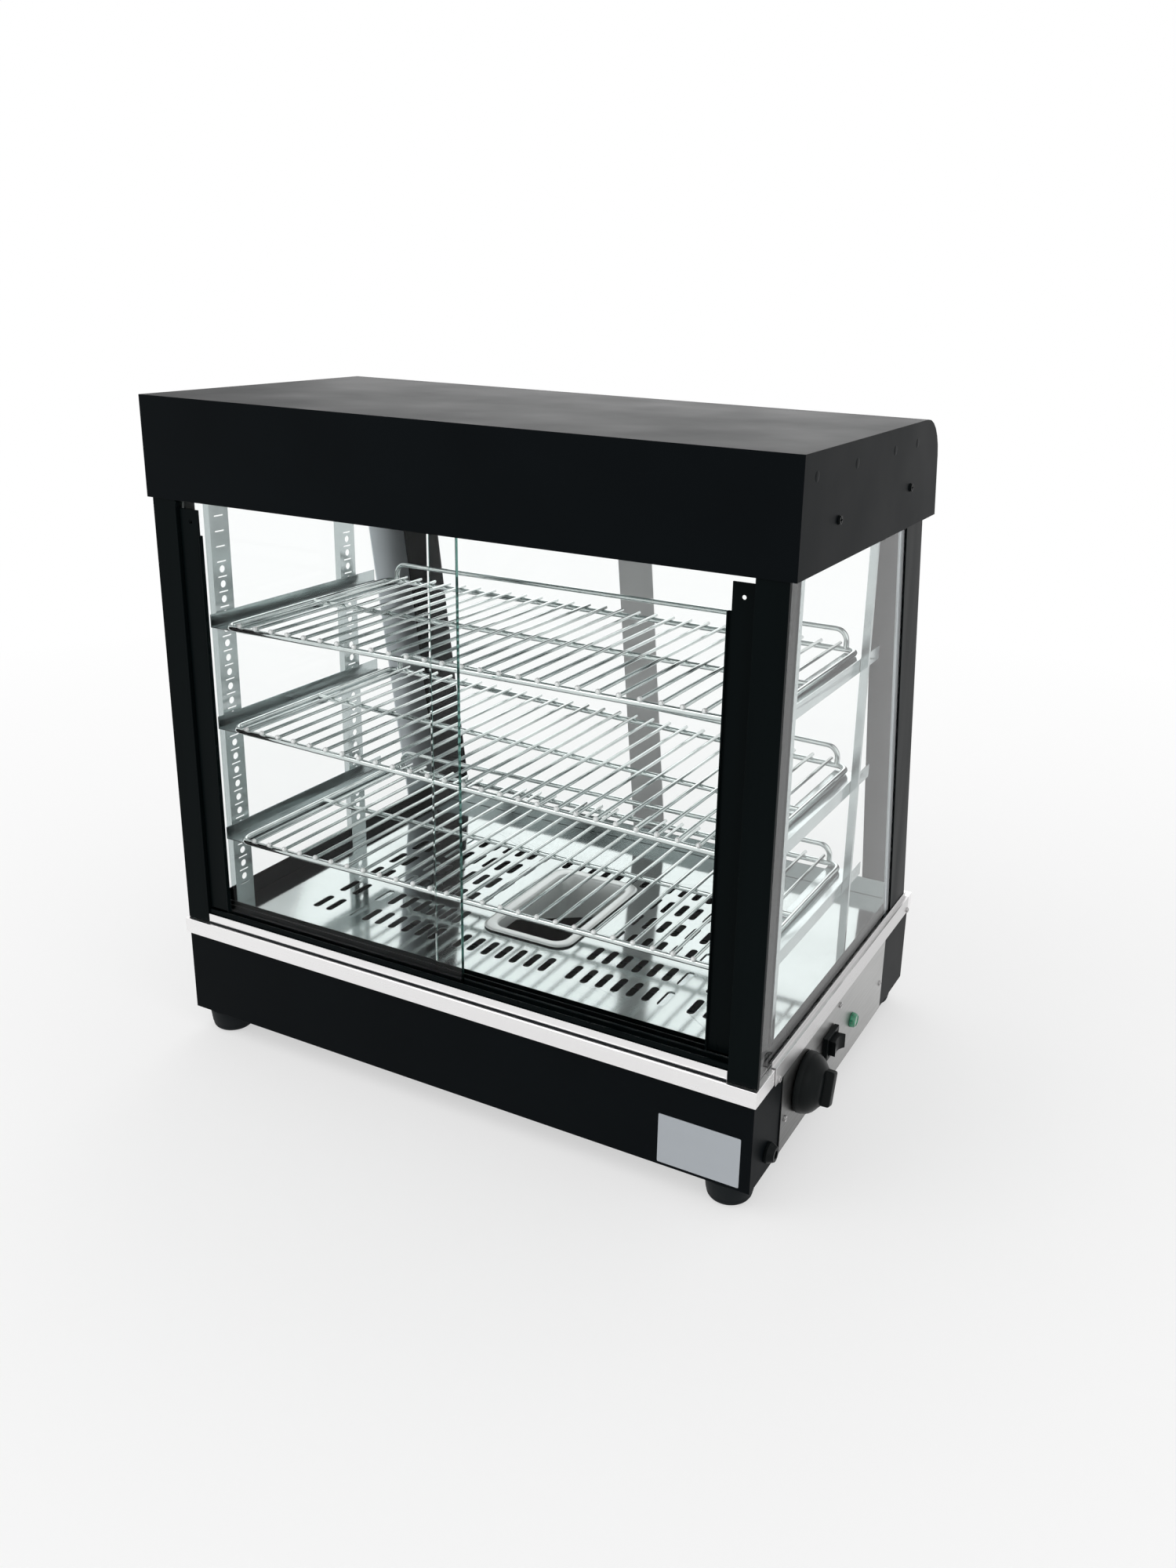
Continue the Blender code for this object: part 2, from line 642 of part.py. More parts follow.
def make_base_shell():
    shell = box_between((-BASE_HALF, BASE_HALF), (BASE_FRONT, BASE_BACK), (BASE_BOTTOM, SHELL_TOP))
    hollow = box_between((-BASE_HALF + BASE_SHEET, BASE_HALF - BASE_SHEET),
                         (BASE_FRONT + BASE_SHEET, BASE_BACK - BASE_SHEET),
                         (BASE_BOTTOM + BASE_SHEET, SHELL_TOP - BASE_SHEET))
    top_flange = TRAY_SIDE_INSET - BASE_INSET - GAP
    opening_top = box_between((-BASE_HALF + top_flange, BASE_HALF - top_flange),
                              (TRAY_FRONT - GAP, TRAY_BACK + GAP),
                              (SHELL_TOP - BASE_SHEET - CUT, SHELL_TOP + CUT))
    opening_bottom = box_between((-BASE_HALF + BASE_FLANGE, BASE_HALF - BASE_FLANGE),
                                 (BASE_FRONT + BASE_FLANGE, BASE_BACK - BASE_FLANGE),
                                 (BASE_BOTTOM - CUT, BASE_BOTTOM + BASE_SHEET + CUT))
    window = box_between((BASE_HALF - BASE_SHEET - CUT, BASE_HALF + CUT),
                         (PANEL_START + WINDOW_MARGIN, PANEL_END - WINDOW_MARGIN),
                         (PANEL_BOTTOM + WINDOW_MARGIN, PANEL_TOP - WINDOW_MARGIN))
    gland_hole = hole_across(GLAND_Y, GLAND_Z, GLAND_STEM_RADIUS + GAP, BASE_HALF, GLAND_SEGMENTS)
    as_part("base_shell", cut(shell, hollow, opening_top, opening_bottom, window, gland_hole), BLACK_PAINT)


def hole_across(y, z, radius, face_x, segments):
    """A round cutter along X through a wall whose outer face is at face_x."""
    ends = [(0, CUT), (radius, CUT), (radius, -CUT), (0, -CUT)]
    return turned(ends, segments, (face_x, y, z), "X")


def make_base_bottom():
    margin = BASE_SHEET + GAP
    plate = box_between((-BASE_HALF + margin, BASE_HALF - margin), (BASE_FRONT + margin, BASE_BACK - margin),
                        (BASE_PLATE_Z, BASE_PLATE_Z + BASE_SHEET))
    vents = bmesh.new()
    middle_y = RIM_DEPTH / 2
    for sign in (-1, 1):
        for index in range(BOTTOM_VENTS):
            x = sign * HALF_WIDTH / 2 + (index - (BOTTOM_VENTS - 1) / 2) * BOTTOM_VENT_PITCH
            add_block(vents, (x - BOTTOM_VENT_WIDTH / 2, middle_y - BOTTOM_VENT_LENGTH / 2, BASE_PLATE_Z - CUT),
                      (x + BOTTOM_VENT_WIDTH / 2, middle_y + BOTTOM_VENT_LENGTH / 2, BASE_PLATE_Z + CUT))
    as_part("base_bottom", cut(plate, mesh_from(vents)), BLACK_PAINT)


def slot_places():
    """Middles of the punched slots, leaving out those under the pan."""
    half_group = (SLOT_GROUP_COLUMNS - 1) / 2 * SLOT_COLUMN_PITCH
    columns = []
    for group in (-1, 0, 1):
        start = PUNCHING_OFFSET + group * SLOT_GROUP_PITCH - half_group
        columns += [start + index * SLOT_COLUMN_PITCH for index in range(SLOT_GROUP_COLUMNS)]
    for index in range(SLOT_EDGE_COLUMNS):
        edge = 2 * SLOT_GROUP_PITCH - half_group + index * SLOT_COLUMN_PITCH
        columns += [PUNCHING_OFFSET - edge, PUNCHING_OFFSET + edge]
    places = []
    reach_x = (PAN_WIDTH + SLOT_WIDTH) / 2
    reach_y = (PAN_LENGTH + SLOT_LENGTH) / 2
    for row in range(SLOT_ROWS):
        y = SLOT_FIRST_ROW + row * SLOT_ROW_PITCH
        for x in columns:
            if abs(x - PUNCHING_OFFSET) > reach_x or abs(y - PAN_CENTRE_Y) > reach_y:
                places.append((x, y))
    return places


def slot_outline(x, y):
    """A long slot with pointed ends, long side front to back."""
    half_width = SLOT_WIDTH / 2
    half_length = SLOT_LENGTH / 2
    shoulder = half_length - half_width / 2
    return [(x - half_width, y - shoulder), (x, y - half_length), (x + half_width, y - shoulder),
            (x + half_width, y + shoulder), (x, y + half_length), (x - half_width, y + shoulder)]


def pan_outline(shrink):
    """The pan's round-cornered outline, drawn in from its rim's edge."""
    half_x = PAN_WIDTH / 2 - shrink
    half_y = PAN_LENGTH / 2 - shrink
    return rounded_rectangle((PUNCHING_OFFSET - half_x, PAN_CENTRE_Y - half_y),
                             (PUNCHING_OFFSET + half_x, PAN_CENTRE_Y + half_y),
                             max(PAN_CORNER - shrink, GAP), PAN_CORNER_STEPS)


def make_floor_tray():
    under = FLOOR_TOP - TRAY_SHEET
    tray = box_between((-TRAY_HALF, TRAY_HALF), (TRAY_FRONT, TRAY_BACK), (under, TRAY_TOP))
    flange = box_between((-TRAY_HALF - TRAY_FLANGE, TRAY_HALF + TRAY_FLANGE),
                         (TRAY_FRONT - TRAY_FLANGE, TRAY_BACK + TRAY_FLANGE), (TRAY_TOP - TRAY_SHEET, TRAY_TOP))
    hollow = box_between((-TRAY_HALF + TRAY_SHEET, TRAY_HALF - TRAY_SHEET),
                         (TRAY_FRONT + TRAY_SHEET, TRAY_BACK - TRAY_SHEET), (FLOOR_TOP, TRAY_TOP + CUT))
    pan_hole = prism([pan_outline(PAN_RIM - PAN_HOLE_CLEARANCE)], "Z", under - CUT, FLOOR_TOP + CUT)
    slots = prism([slot_outline(x, y) for x, y in slot_places()], "Z", under - CUT, FLOOR_TOP + CUT)
    as_part("floor_tray", cut(join(tray, flange), hollow, pan_hole, slots), MIRROR_STEEL)


def ring(outer_low, outer_high, inner_low, inner_high, z_range):
    """An upright rectangular ring."""
    outer = box_between(*zip(outer_low, outer_high), z_range)
    inner = box_between(*zip(inner_low, inner_high), (z_range[0] - CUT, z_range[1] + CUT))
    return cut(outer, inner)


def make_chamber_surround():
    outset = TRAY_SHEET + GAP
    low = (-TRAY_HALF + outset, TRAY_FRONT + outset)
    high = (TRAY_HALF - outset, TRAY_BACK - outset)
    inner_low = [edge + SURROUND_SHEET for edge in low]
    inner_high = [edge - SURROUND_SHEET for edge in high]
    height = (FLOOR_TOP + GAP, FLOOR_TOP + GAP + SURROUND_HEIGHT)
    as_part("chamber_surround", ring(low, high, inner_low, inner_high, height), BLACK_PAINT)


def make_base_rim():
    """Trim ring: an upright face all round and a ledge turned in over the tray's flange."""
    side = HALF_WIDTH - SILL_SHEET - GAP
    outer = box_between((-side, side), (0, RIM_DEPTH), (RIM_TOP - RIM_FACE_HEIGHT, RIM_TOP))
    under = box_between((-side + RIM_SHEET, side - RIM_SHEET), (RIM_SHEET, RIM_DEPTH - RIM_SHEET),
                        (RIM_TOP - RIM_FACE_HEIGHT - CUT, RIM_LEDGE_UNDER))
    opening = box_between((-TRAY_HALF, TRAY_HALF), (TRAY_FRONT, TRAY_BACK),
                          (RIM_LEDGE_UNDER - CUT, RIM_TOP + CUT))
    as_part("base_rim", cut(outer, under, opening), STAINLESS)


def make_side_sills():
    top = POST_FOOT + SILL_SHEET
    bottom = RIM_TOP - RIM_FACE_HEIGHT - SIDE_SILL_DROP
    outer = HALF_WIDTH
    ledge = outer - SIDE_SILL_LEDGE
    tip = top + SIDE_SILL_UPSTAND
    outline = [(outer, bottom), (outer, top), (ledge + SILL_SHEET, top), (ledge + SILL_SHEET, tip),
               (ledge, tip), (ledge, POST_FOOT), (outer - SILL_SHEET, POST_FOOT),
               (outer - SILL_SHEET, bottom)]
    for side, sign in sides():
        points = outline if sign > 0 else mirrored(outline)
        sill = prism([points], "Y", SIDE_SILL_START, RIM_DEPTH - SIDE_SILL_END_INSET)
        as_part(f"side_sill_{side}", sill, STAINLESS)


def make_door_sill():
    front = DOOR_SILL_SETBACK
    back = front + DOOR_SILL_FOOT
    outline = [(front, POST_FOOT), (back, POST_FOOT), (back, POST_FOOT + SILL_SHEET),
               (front + SILL_SHEET, POST_FOOT + SILL_SHEET), (front + SILL_SHEET, POST_FOOT + DOOR_SILL_HEIGHT),
               (front, POST_FOOT + DOOR_SILL_HEIGHT)]
    half = JAMB_X - GAP
    as_part("door_sill", prism([outline], "X", -half, half), STAINLESS)


def make_front_posts():
    outer = HALF_WIDTH - FRONT_POST_INSET
    jamb = outer - FRONT_POST_WIDTH
    leg = HALF_WIDTH - SIDE_GLASS_INSET - GLASS - GAP
    front = FRONT_POST_SETBACK
    inside = front + POST_SHEET
    lip_end = front + FRONT_POST_LIP
    leg_end = front + FRONT_POST_LEG
    jamb_end = front + FRONT_POST_JAMB
    outline = [(outer, front), (outer, lip_end), (outer - POST_SHEET, lip_end), (outer - POST_SHEET, inside),
               (leg, inside), (leg, leg_end), (leg - POST_SHEET, leg_end), (leg - POST_SHEET, inside),
               (jamb + POST_SHEET, inside), (jamb + POST_SHEET, jamb_end), (jamb, jamb_end), (jamb, front)]
    for side, sign in sides():
        points = outline if sign > 0 else mirrored(outline)
        as_part(f"front_post_{side}", prism([points], "Z", POST_FOOT, INSIDE_TOP), BLACK_ANODISED)


def make_side_glass():
    bottom = POST_FOOT
    clear = CUSTOMER_FACE_SHEET + GAP
    edge = clear + CUSTOMER_POST_RADIUS
    outline = [(SIDE_GLASS_FRONT, bottom), (customer_y(bottom) - edge, bottom),
               (customer_y(INSIDE_TOP) - edge, INSIDE_TOP), (SIDE_GLASS_FRONT, INSIDE_TOP)]
    for side, sign in sides():
        low, high = span(sign, SIDE_GLASS_INSET, SIDE_GLASS_INSET + GLASS)
        as_part(f"side_glass_{side}", prism([outline], "X", low, high), CLEAR_GLASS)


def make_customer_posts():
    """Angle posts with a round outer corner, leaning with the customer glass."""
    outer = HALF_WIDTH - CUSTOMER_POST_INSET
    face = CUSTOMER_FOOT_Y
    radius = CUSTOMER_POST_RADIUS
    centre = (outer - radius, face - radius)
    skin = CUSTOMER_POST_SKIN
    outline = [(outer - skin, face - CUSTOMER_POST_SIDE), (outer, face - CUSTOMER_POST_SIDE)]
    outline += arc(centre, radius, 0, 90, CUSTOMER_POST_STEPS)
    outline += [(outer - CUSTOMER_POST_FACE, face), (outer - CUSTOMER_POST_FACE, face - CUSTOMER_FACE_SHEET)]
    for step in range(CUSTOMER_POST_STEPS, -1, -1):
        angle = math.pi / 2 * step / CUSTOMER_POST_STEPS
        outline.append((centre[0] + (radius - skin) * math.cos(angle),
                        centre[1] + (radius - CUSTOMER_FACE_SHEET) * math.sin(angle)))
    for side, sign in sides():
        points = outline if sign > 0 else mirrored(outline)
        post = leaned(prism([points], "Z", POST_FOOT + SILL_SHEET + GAP, INSIDE_TOP))
        as_part(f"customer_post_{side}", post, BLACK_ANODISED)


def make_glass_retainers():
    back = CUSTOMER_FOOT_Y - CUSTOMER_FACE_SHEET - GLASS - RETAINER_BACK_CLEARANCE
    for side, sign in sides():
        start = SIDE_GLASS_INSET + GLASS + GAP
        retainer = box_between(span(sign, start, start + RETAINER_THICKNESS), (back - RETAINER_WIDTH, back),
                               (POST_FOOT, INSIDE_TOP))
        as_part(f"glass_retainer_{side}", leaned(retainer), ALUMINIUM)


def make_customer_glass():
    back = CUSTOMER_FOOT_Y - CUSTOMER_FACE_SHEET - GAP
    edge = SIDE_GLASS_INSET + GLASS + RETAINER_THICKNESS + 2 * GAP
    width = (-HALF_WIDTH + edge, HALF_WIDTH - edge)
    glass = box_between(width, (back - GLASS, back), (POST_FOOT, INSIDE_TOP))
    as_part("customer_glass", leaned(glass), CLEAR_GLASS)
    strip_back = back - GLASS - GAP
    strip = box_between((-STRIP_WIDTH / 2, STRIP_WIDTH / 2), (strip_back - STRIP_THICKNESS, strip_back),
                        (POST_FOOT, INSIDE_TOP))
    as_part("customer_glass_strip", leaned(strip), STRIP_GREY)


def canopy_outline(inward, bottom):
    """The canopy's end outline in (y, z), drawn in by a wall and down to a given bottom."""
    front = CANOPY_SETBACK + inward
    top = CANOPY_TOP - inward
    foot_y = CANOPY_FOOT_Y - inward
    radius = CANOPY_EDGE_RADIUS - inward
    centre_y = CANOPY_FOOT_Y - CANOPY_BACK_LEAN - CANOPY_EDGE_RADIUS
    centre = (centre_y, CANOPY_TOP - CANOPY_EDGE_RADIUS)
    back_angle = math.degrees(math.atan2(CANOPY_BACK_LEAN, centre[1] - CANOPY_BOTTOM))
    slope = math.tan(math.radians(back_angle))
    return [(front, bottom), (front, top)] + arc(centre, radius, 90, back_angle, CANOPY_EDGE_STEPS) + [
        (foot_y + (CANOPY_BOTTOM - bottom) * slope, bottom)]


def make_canopy():
    outer = prism([canopy_outline(0, CANOPY_BOTTOM)], "X", -CANOPY_HALF, CANOPY_HALF)
    wall = CANOPY_HALF - CANOPY_SHEET
    inner = prism([canopy_outline(CANOPY_SHEET, CANOPY_BOTTOM - CUT)], "X", -wall, wall)
    as_part("canopy_shell", cut(outer, inner), BLACK_PAINT)
    ceiling_half = wall - GAP
    ceiling_top = CEILING_UNDER + CEILING_SHEET
    slope = CANOPY_BACK_LEAN / (CANOPY_TOP - CANOPY_EDGE_RADIUS - CANOPY_BOTTOM)
    back = CANOPY_FOOT_Y - CANOPY_SHEET - (ceiling_top - CANOPY_BOTTOM) * slope - 2 * GAP
    ceiling = box_between((-ceiling_half, ceiling_half), (CANOPY_SETBACK + CANOPY_SHEET + GAP, back),
                          (CEILING_UNDER, ceiling_top))
    as_part("canopy_ceiling", ceiling, STAINLESS)


def make_door_tracks():
    """Two-groove tracks, with the grooves up at the foot and down under the ceiling."""
    edges = [0, TRACK_RIB, TRACK_RIB + TRACK_GROOVE, TRACK_RIB + TRACK_GROOVE + TRACK_MIDDLE_RIB,
             TRACK_DEPTH - TRACK_RIB, TRACK_DEPTH]
    levels = {"door_track_bottom": (TRACK_UNDER, 1, TRACK_HEIGHT),
              "door_track_top": (INSIDE_TOP, -1, TRACK_TOP_HEIGHT)}
    half = JAMB_X - GAP
    for name, (root, way, height) in levels.items():
        tip = root + way * height
        floor = root + way * TRACK_FLOOR
        ys = [TRACK_FRONT + edge for edge in edges]
        outline = [(ys[0], root), (ys[0], tip), (ys[1], tip), (ys[1], floor), (ys[2], floor), (ys[2], tip),
                   (ys[3], tip), (ys[3], floor), (ys[4], floor), (ys[4], tip), (ys[5], tip), (ys[5], root)]
        as_part(name, prism([outline], "X", -half, half), BLACK_ANODISED)


def make_doors():
    """Each door is a pane and a full-height finger pull, and slides on an empty at its own middle."""
    layers = {"left": (-1, DOOR_OUTER_Y), "right": (1, DOOR_INNER_Y)}
    for side, (sign, glass_y) in layers.items():
        edge = JAMB_X - DOOR_JAMB_CLEARANCE
        glass_edge = edge - HANDLE_SHEET - GAP
        lap = -DOOR_HALF_LAP
        middle = (sign * (glass_edge + lap) / 2, glass_y + GLASS / 2, DOOR_BOTTOM)
        slide = axis_empty(f"door_{side}_slide", middle)
        glass = box_between(sorted((sign * lap, sign * glass_edge)), (glass_y, glass_y + GLASS),
                            (DOOR_BOTTOM, DOOR_TOP))
        as_part(f"door_glass_{side}", glass, CLEAR_GLASS, slide)
        front = glass_y - GAP - HANDLE_SHEET
        inner = edge - HANDLE_WIDTH
        lip = front - HANDLE_LIP + HANDLE_SHEET
        outline = [(edge, front), (edge, glass_y + GLASS), (edge - HANDLE_SHEET, glass_y + GLASS),
                   (edge - HANDLE_SHEET, front + HANDLE_SHEET), (inner, front + HANDLE_SHEET), (inner, lip),
                   (inner + HANDLE_SHEET, lip), (inner + HANDLE_SHEET, front)]
        points = outline if sign > 0 else mirrored(outline)
        handle = prism([points], "Z", HANDLE_BOTTOM, HANDLE_TOP)
        notch_x = sorted((sign * (inner - CUT), sign * (inner + 2 * HANDLE_SHEET)))
        notch = box_between(notch_x, (lip - CUT, glass_y), (HANDLE_TOP - HANDLE_NOTCH, HANDLE_TOP + CUT))
        hole_x = sign * (inner + HANDLE_WIDTH / 2)
        hole = prism([arc((hole_x, HANDLE_TOP - HANDLE_HOLE_DROP), HANDLE_HOLE_RADIUS, 0, 315, 7)], "Y",
                     front - CUT, front + HANDLE_SHEET + GAP)
        as_part(f"door_handle_{side}", cut(handle, notch, hole), BLACK_ANODISED, slide)


def make_shelf_strips():
    """Angle strips with a column of round holes that the rails' pegs hang in."""
    reach = HALF_WIDTH - STRIP_INSET
    for end, start in (("front", FRONT_STRIP_Y), ("back", BACK_STRIP_Y)):
        leg = reach + PERFORATED_SHEET + PERFORATED_LEG
        outline = [(reach, start), (leg, start), (leg, start + PERFORATED_SHEET),
                   (reach + PERFORATED_SHEET, start + PERFORATED_SHEET),
                   (reach + PERFORATED_SHEET, start + PERFORATED_FACE), (reach, start + PERFORATED_FACE)]
        middle = start + (PERFORATED_SHEET + PERFORATED_FACE) / 2
        holes = []
        for index in range(HOLE_COUNT):
            height = TOP_HOLE_Z - index * HOLE_PITCH
            holes.append(arc((middle, height), HOLE_RADIUS, 0, 360 - 360 / HOLE_SIDES, HOLE_SIDES - 1))
        for side, sign in sides():
            points = outline if sign > 0 else mirrored(outline)
            strip = prism([points], "Z", FLOOR_TOP + GAP, INSIDE_TOP)
            face = span(sign, STRIP_INSET - CUT, STRIP_INSET + CUT)
            tools = prism(holes, "X", *face)
            as_part(f"shelf_strip_{end}_{side}", cut(strip, tools), STAINLESS)


def peg_middles():
    offset = (PERFORATED_SHEET + PERFORATED_FACE) / 2
    return FRONT_STRIP_Y + offset, BACK_STRIP_Y + offset


def make_shelf_rails():
    """Angle rails: an upright wall against the strips, with two pegs, and a ledge for the shelf."""
    names = ("top", "middle", "bottom")
    wall_x = HALF_WIDTH - STRIP_INSET - GAP
    for side, sign in sides():
        chosen = RIGHT_RAIL_HOLES if sign > 0 else LEFT_RAIL_HOLES
        for name, hole in zip(names, chosen):
            height = TOP_HOLE_Z - hole * HOLE_PITCH
            under = height - PEG_ABOVE_LEDGE
            top = under + RAIL_HEIGHT
            ledge = under + RAIL_SHEET
            outline = [(wall_x, under), (wall_x, top), (wall_x - RAIL_SHEET, top), (wall_x - RAIL_SHEET, ledge),
                       (wall_x - RAIL_LEDGE, ledge), (wall_x - RAIL_LEDGE, under)]
            points = outline if sign > 0 else mirrored(outline)
            rail = prism([points], "Y", RAIL_START, RAIL_END)
            pegs = []
            for middle in peg_middles():
                circle = arc((middle, height), PEG_RADIUS, 0, 360 - 360 / PEG_SIDES, PEG_SIDES - 1)
                ends = sorted((sign * (wall_x - RAIL_SHEET / 2), sign * (wall_x + PEG_REACH)))
                pegs.append(prism([circle], "X", *ends))
            as_part(f"shelf_rail_{name}_{side}", join(rail, merged(pegs)), STAINLESS)


def shelf_frame_points(half):
    outline = rounded_rectangle((-half, SHELF_FRONT), (half, SHELF_BACK), SHELF_CORNER, SHELF_CORNER_STEPS)
    return [(x, y, 0) for x, y in outline]


def upstand_points(half):
    """The raised back rod, bent down at each end into the frame."""
    height = UPSTAND_HEIGHT - SHELF_CORNER
    path = [(-half, 0)]
    path += arc((-half + SHELF_CORNER, height), SHELF_CORNER, 180, 90, SHELF_CORNER_STEPS)
    path += arc((half - SHELF_CORNER, height), SHELF_CORNER, 90, 0, SHELF_CORNER_STEPS)
    path += [(half, 0)]
    return [(x, SHELF_BACK, z) for x, z in path]


def wire_shelf():
    """One wire shelf drawn with the middle of its rods at height zero."""
    half = SHELF_HALF
    frame = tube(shelf_frame_points(half), ROD_RADIUS, 1, cyclic=True)
    middle = tube([(-half, SHELF_MIDDLE, 0), (half, SHELF_MIDDLE, 0)], ROD_RADIUS - WIRE_SINK / 2, 1)
    upstand = tube(upstand_points(half - UPSTAND_INSET), ROD_RADIUS, 1)
    height = ROD_RADIUS + WIRE_RADIUS - WIRE_SINK
    wires = []
    for index in range(WIRE_COUNT):
        x = (index - (WIRE_COUNT - 1) / 2) * WIRE_PITCH
        ends = [(x, SHELF_FRONT - ROD_RADIUS, height), (x, SHELF_BACK + WIRE_BACK_OVERRUN, height)]
        wires.append(tube(ends, WIRE_RADIUS, 0))
    return join(frame, middle, upstand, merged(wires))


def make_wire_shelves():
    shelf = wire_shelf()
    for name, left, right in zip(("top", "middle", "bottom"), LEFT_RAIL_HOLES, RIGHT_RAIL_HOLES):
        rest = TOP_HOLE_Z + LEDGE_TOP_OVER_HOLE + GAP + ROD_RADIUS
        heights = [rest - hole * HOLE_PITCH for hole in (left, right)]
        tilt = math.atan2(heights[0] - heights[1], 2 * SHELF_HALF)
        lift = SHELF_TILT_LIFT if left != right else 0
        placing = Matrix.Translation((0, 0, sum(heights) / 2 + lift)) @ Matrix.Rotation(tilt, 4, "Y")
        mesh = shelf.copy()
        mesh.transform(placing)
        as_part(f"wire_shelf_{name}", mesh, CHROME)


def make_control_panel():
    low = (PANEL_START, PANEL_BOTTOM)
    high = (PANEL_END, PANEL_TOP)
    sheet = [(low[0], low[1]), (high[0], low[1]), (high[0], high[1]), (low[0], high[1])]
    knob_hole = arc((KNOB_Y, KNOB_Z), SHAFT_RADIUS + SHAFT_HOLE_CLEARANCE, 0, 330, 11)
    pilot_hole = arc((PILOT_Y, PILOT_Z), PILOT_STEM_RADIUS + PILOT_HOLE_CLEARANCE, 0, 330, 11)
    half_y = SWITCH_WIDTH / 2 - SWITCH_BODY_MARGIN + GAP
    half_z = SWITCH_HEIGHT / 2 - SWITCH_BODY_MARGIN + GAP
    switch_hole = [(SWITCH_Y - half_y, SWITCH_Z - half_z), (SWITCH_Y + half_y, SWITCH_Z - half_z),
                   (SWITCH_Y + half_y, SWITCH_Z + half_z), (SWITCH_Y - half_y, SWITCH_Z + half_z)]
    panel = prism([sheet, knob_hole, pilot_hole, switch_hole], "X", PANEL_FACE - PANEL_SHEET, PANEL_FACE)
    as_part("control_panel", panel, STAINLESS)


def make_thermostat():
    """Body behind the panel with its shaft, the knob on the shaft, and the bulb on its capillary."""
    back = PANEL_FACE - PANEL_SHEET - GAP
    body = turned([(0, 0), (THERMOSTAT_BODY_RADIUS, 0), (THERMOSTAT_BODY_RADIUS, -THERMOSTAT_BODY_DEPTH),
                   (0, -THERMOSTAT_BODY_DEPTH)], THERMOSTAT_SEGMENTS, (back, KNOB_Y, KNOB_Z), "X")
    reach = PANEL_FACE + SHAFT_REACH - back
    shaft = turned([(0, reach), (SHAFT_RADIUS, reach), (SHAFT_RADIUS, -SHAFT_ROOT), (0, -SHAFT_ROOT)],
                   GLAND_SEGMENTS, (back, KNOB_Y, KNOB_Z), "X")
    as_part("thermostat_body", join(body, shaft), BLACK_PLASTIC)

    axis = axis_empty("thermostat_axis", (PANEL_FACE + KNOB_STAND_OFF, KNOB_Y, KNOB_Z))
    base = tuple(axis.location)
    profile = [(0, KNOB_DOME)]
    profile += [(KNOB_DOME_RADIUS * across, KNOB_DOME * up) for across, up in KNOB_DOME_SHARES]
    profile += [(KNOB_DOME_FOOT_RADIUS, KNOB_SKIRT), (KNOB_RADIUS, KNOB_SKIRT), (KNOB_RADIUS, 0), (0, 0)]
    dial = turned(profile, KNOB_SEGMENTS, base, "X")
    half_bar = KNOB_BAR_LENGTH / 2
    top_bar = half_bar * KNOB_BAR_TOP_SHARE
    bar = [(-half_bar, KNOB_SKIRT), (half_bar, KNOB_SKIRT), (top_bar, KNOB_HEIGHT), (-top_bar, KNOB_HEIGHT)]
    grip = prism([bar], "Y", -KNOB_BAR_WIDTH / 2, KNOB_BAR_WIDTH / 2)
    turn = Matrix.Rotation(KNOB_BAR_TURN, 4, "X") @ Matrix.Rotation(math.pi / 2, 4, "Y")
    grip.transform(Matrix.Translation(base) @ turn)
    bore_radius = SHAFT_RADIUS + SHAFT_CLEARANCE
    bore = turned([(0, KNOB_BORE_DEPTH), (bore_radius, KNOB_BORE_DEPTH), (bore_radius, -CUT), (0, -CUT)],
                  GLAND_SEGMENTS, base, "X")
    as_part("thermostat_knob", cut(join(dial, grip), bore), BLACK_PLASTIC, axis)

    floor_under = FLOOR_TOP - TRAY_SHEET
    bulb_z = floor_under - GAP - BULB_RADIUS
    bulb_x = HALF_WIDTH - BULB_INSET
    exit_x = back - THERMOSTAT_BODY_DEPTH - GAP
    lift = bulb_z - KNOB_Z
    path = [(exit_x, KNOB_Y, KNOB_Z), ((exit_x + bulb_x) / 2, KNOB_Y, KNOB_Z + lift * CAPILLARY_RISE_SHARES[0]),
            (bulb_x, (KNOB_Y + BULB_START - BULB_NECK) / 2, KNOB_Z + lift * CAPILLARY_RISE_SHARES[1]),
            (bulb_x, BULB_START - BULB_NECK, bulb_z), (bulb_x, BULB_START, bulb_z),
            (bulb_x, BULB_START + BULB_LENGTH, bulb_z)]
    radii = [CAPILLARY_RADIUS] * 4 + [BULB_RADIUS] * 2
    as_part("thermostat_bulb", tube(path, BULB_RADIUS, 2, radii=radii), STAINLESS)


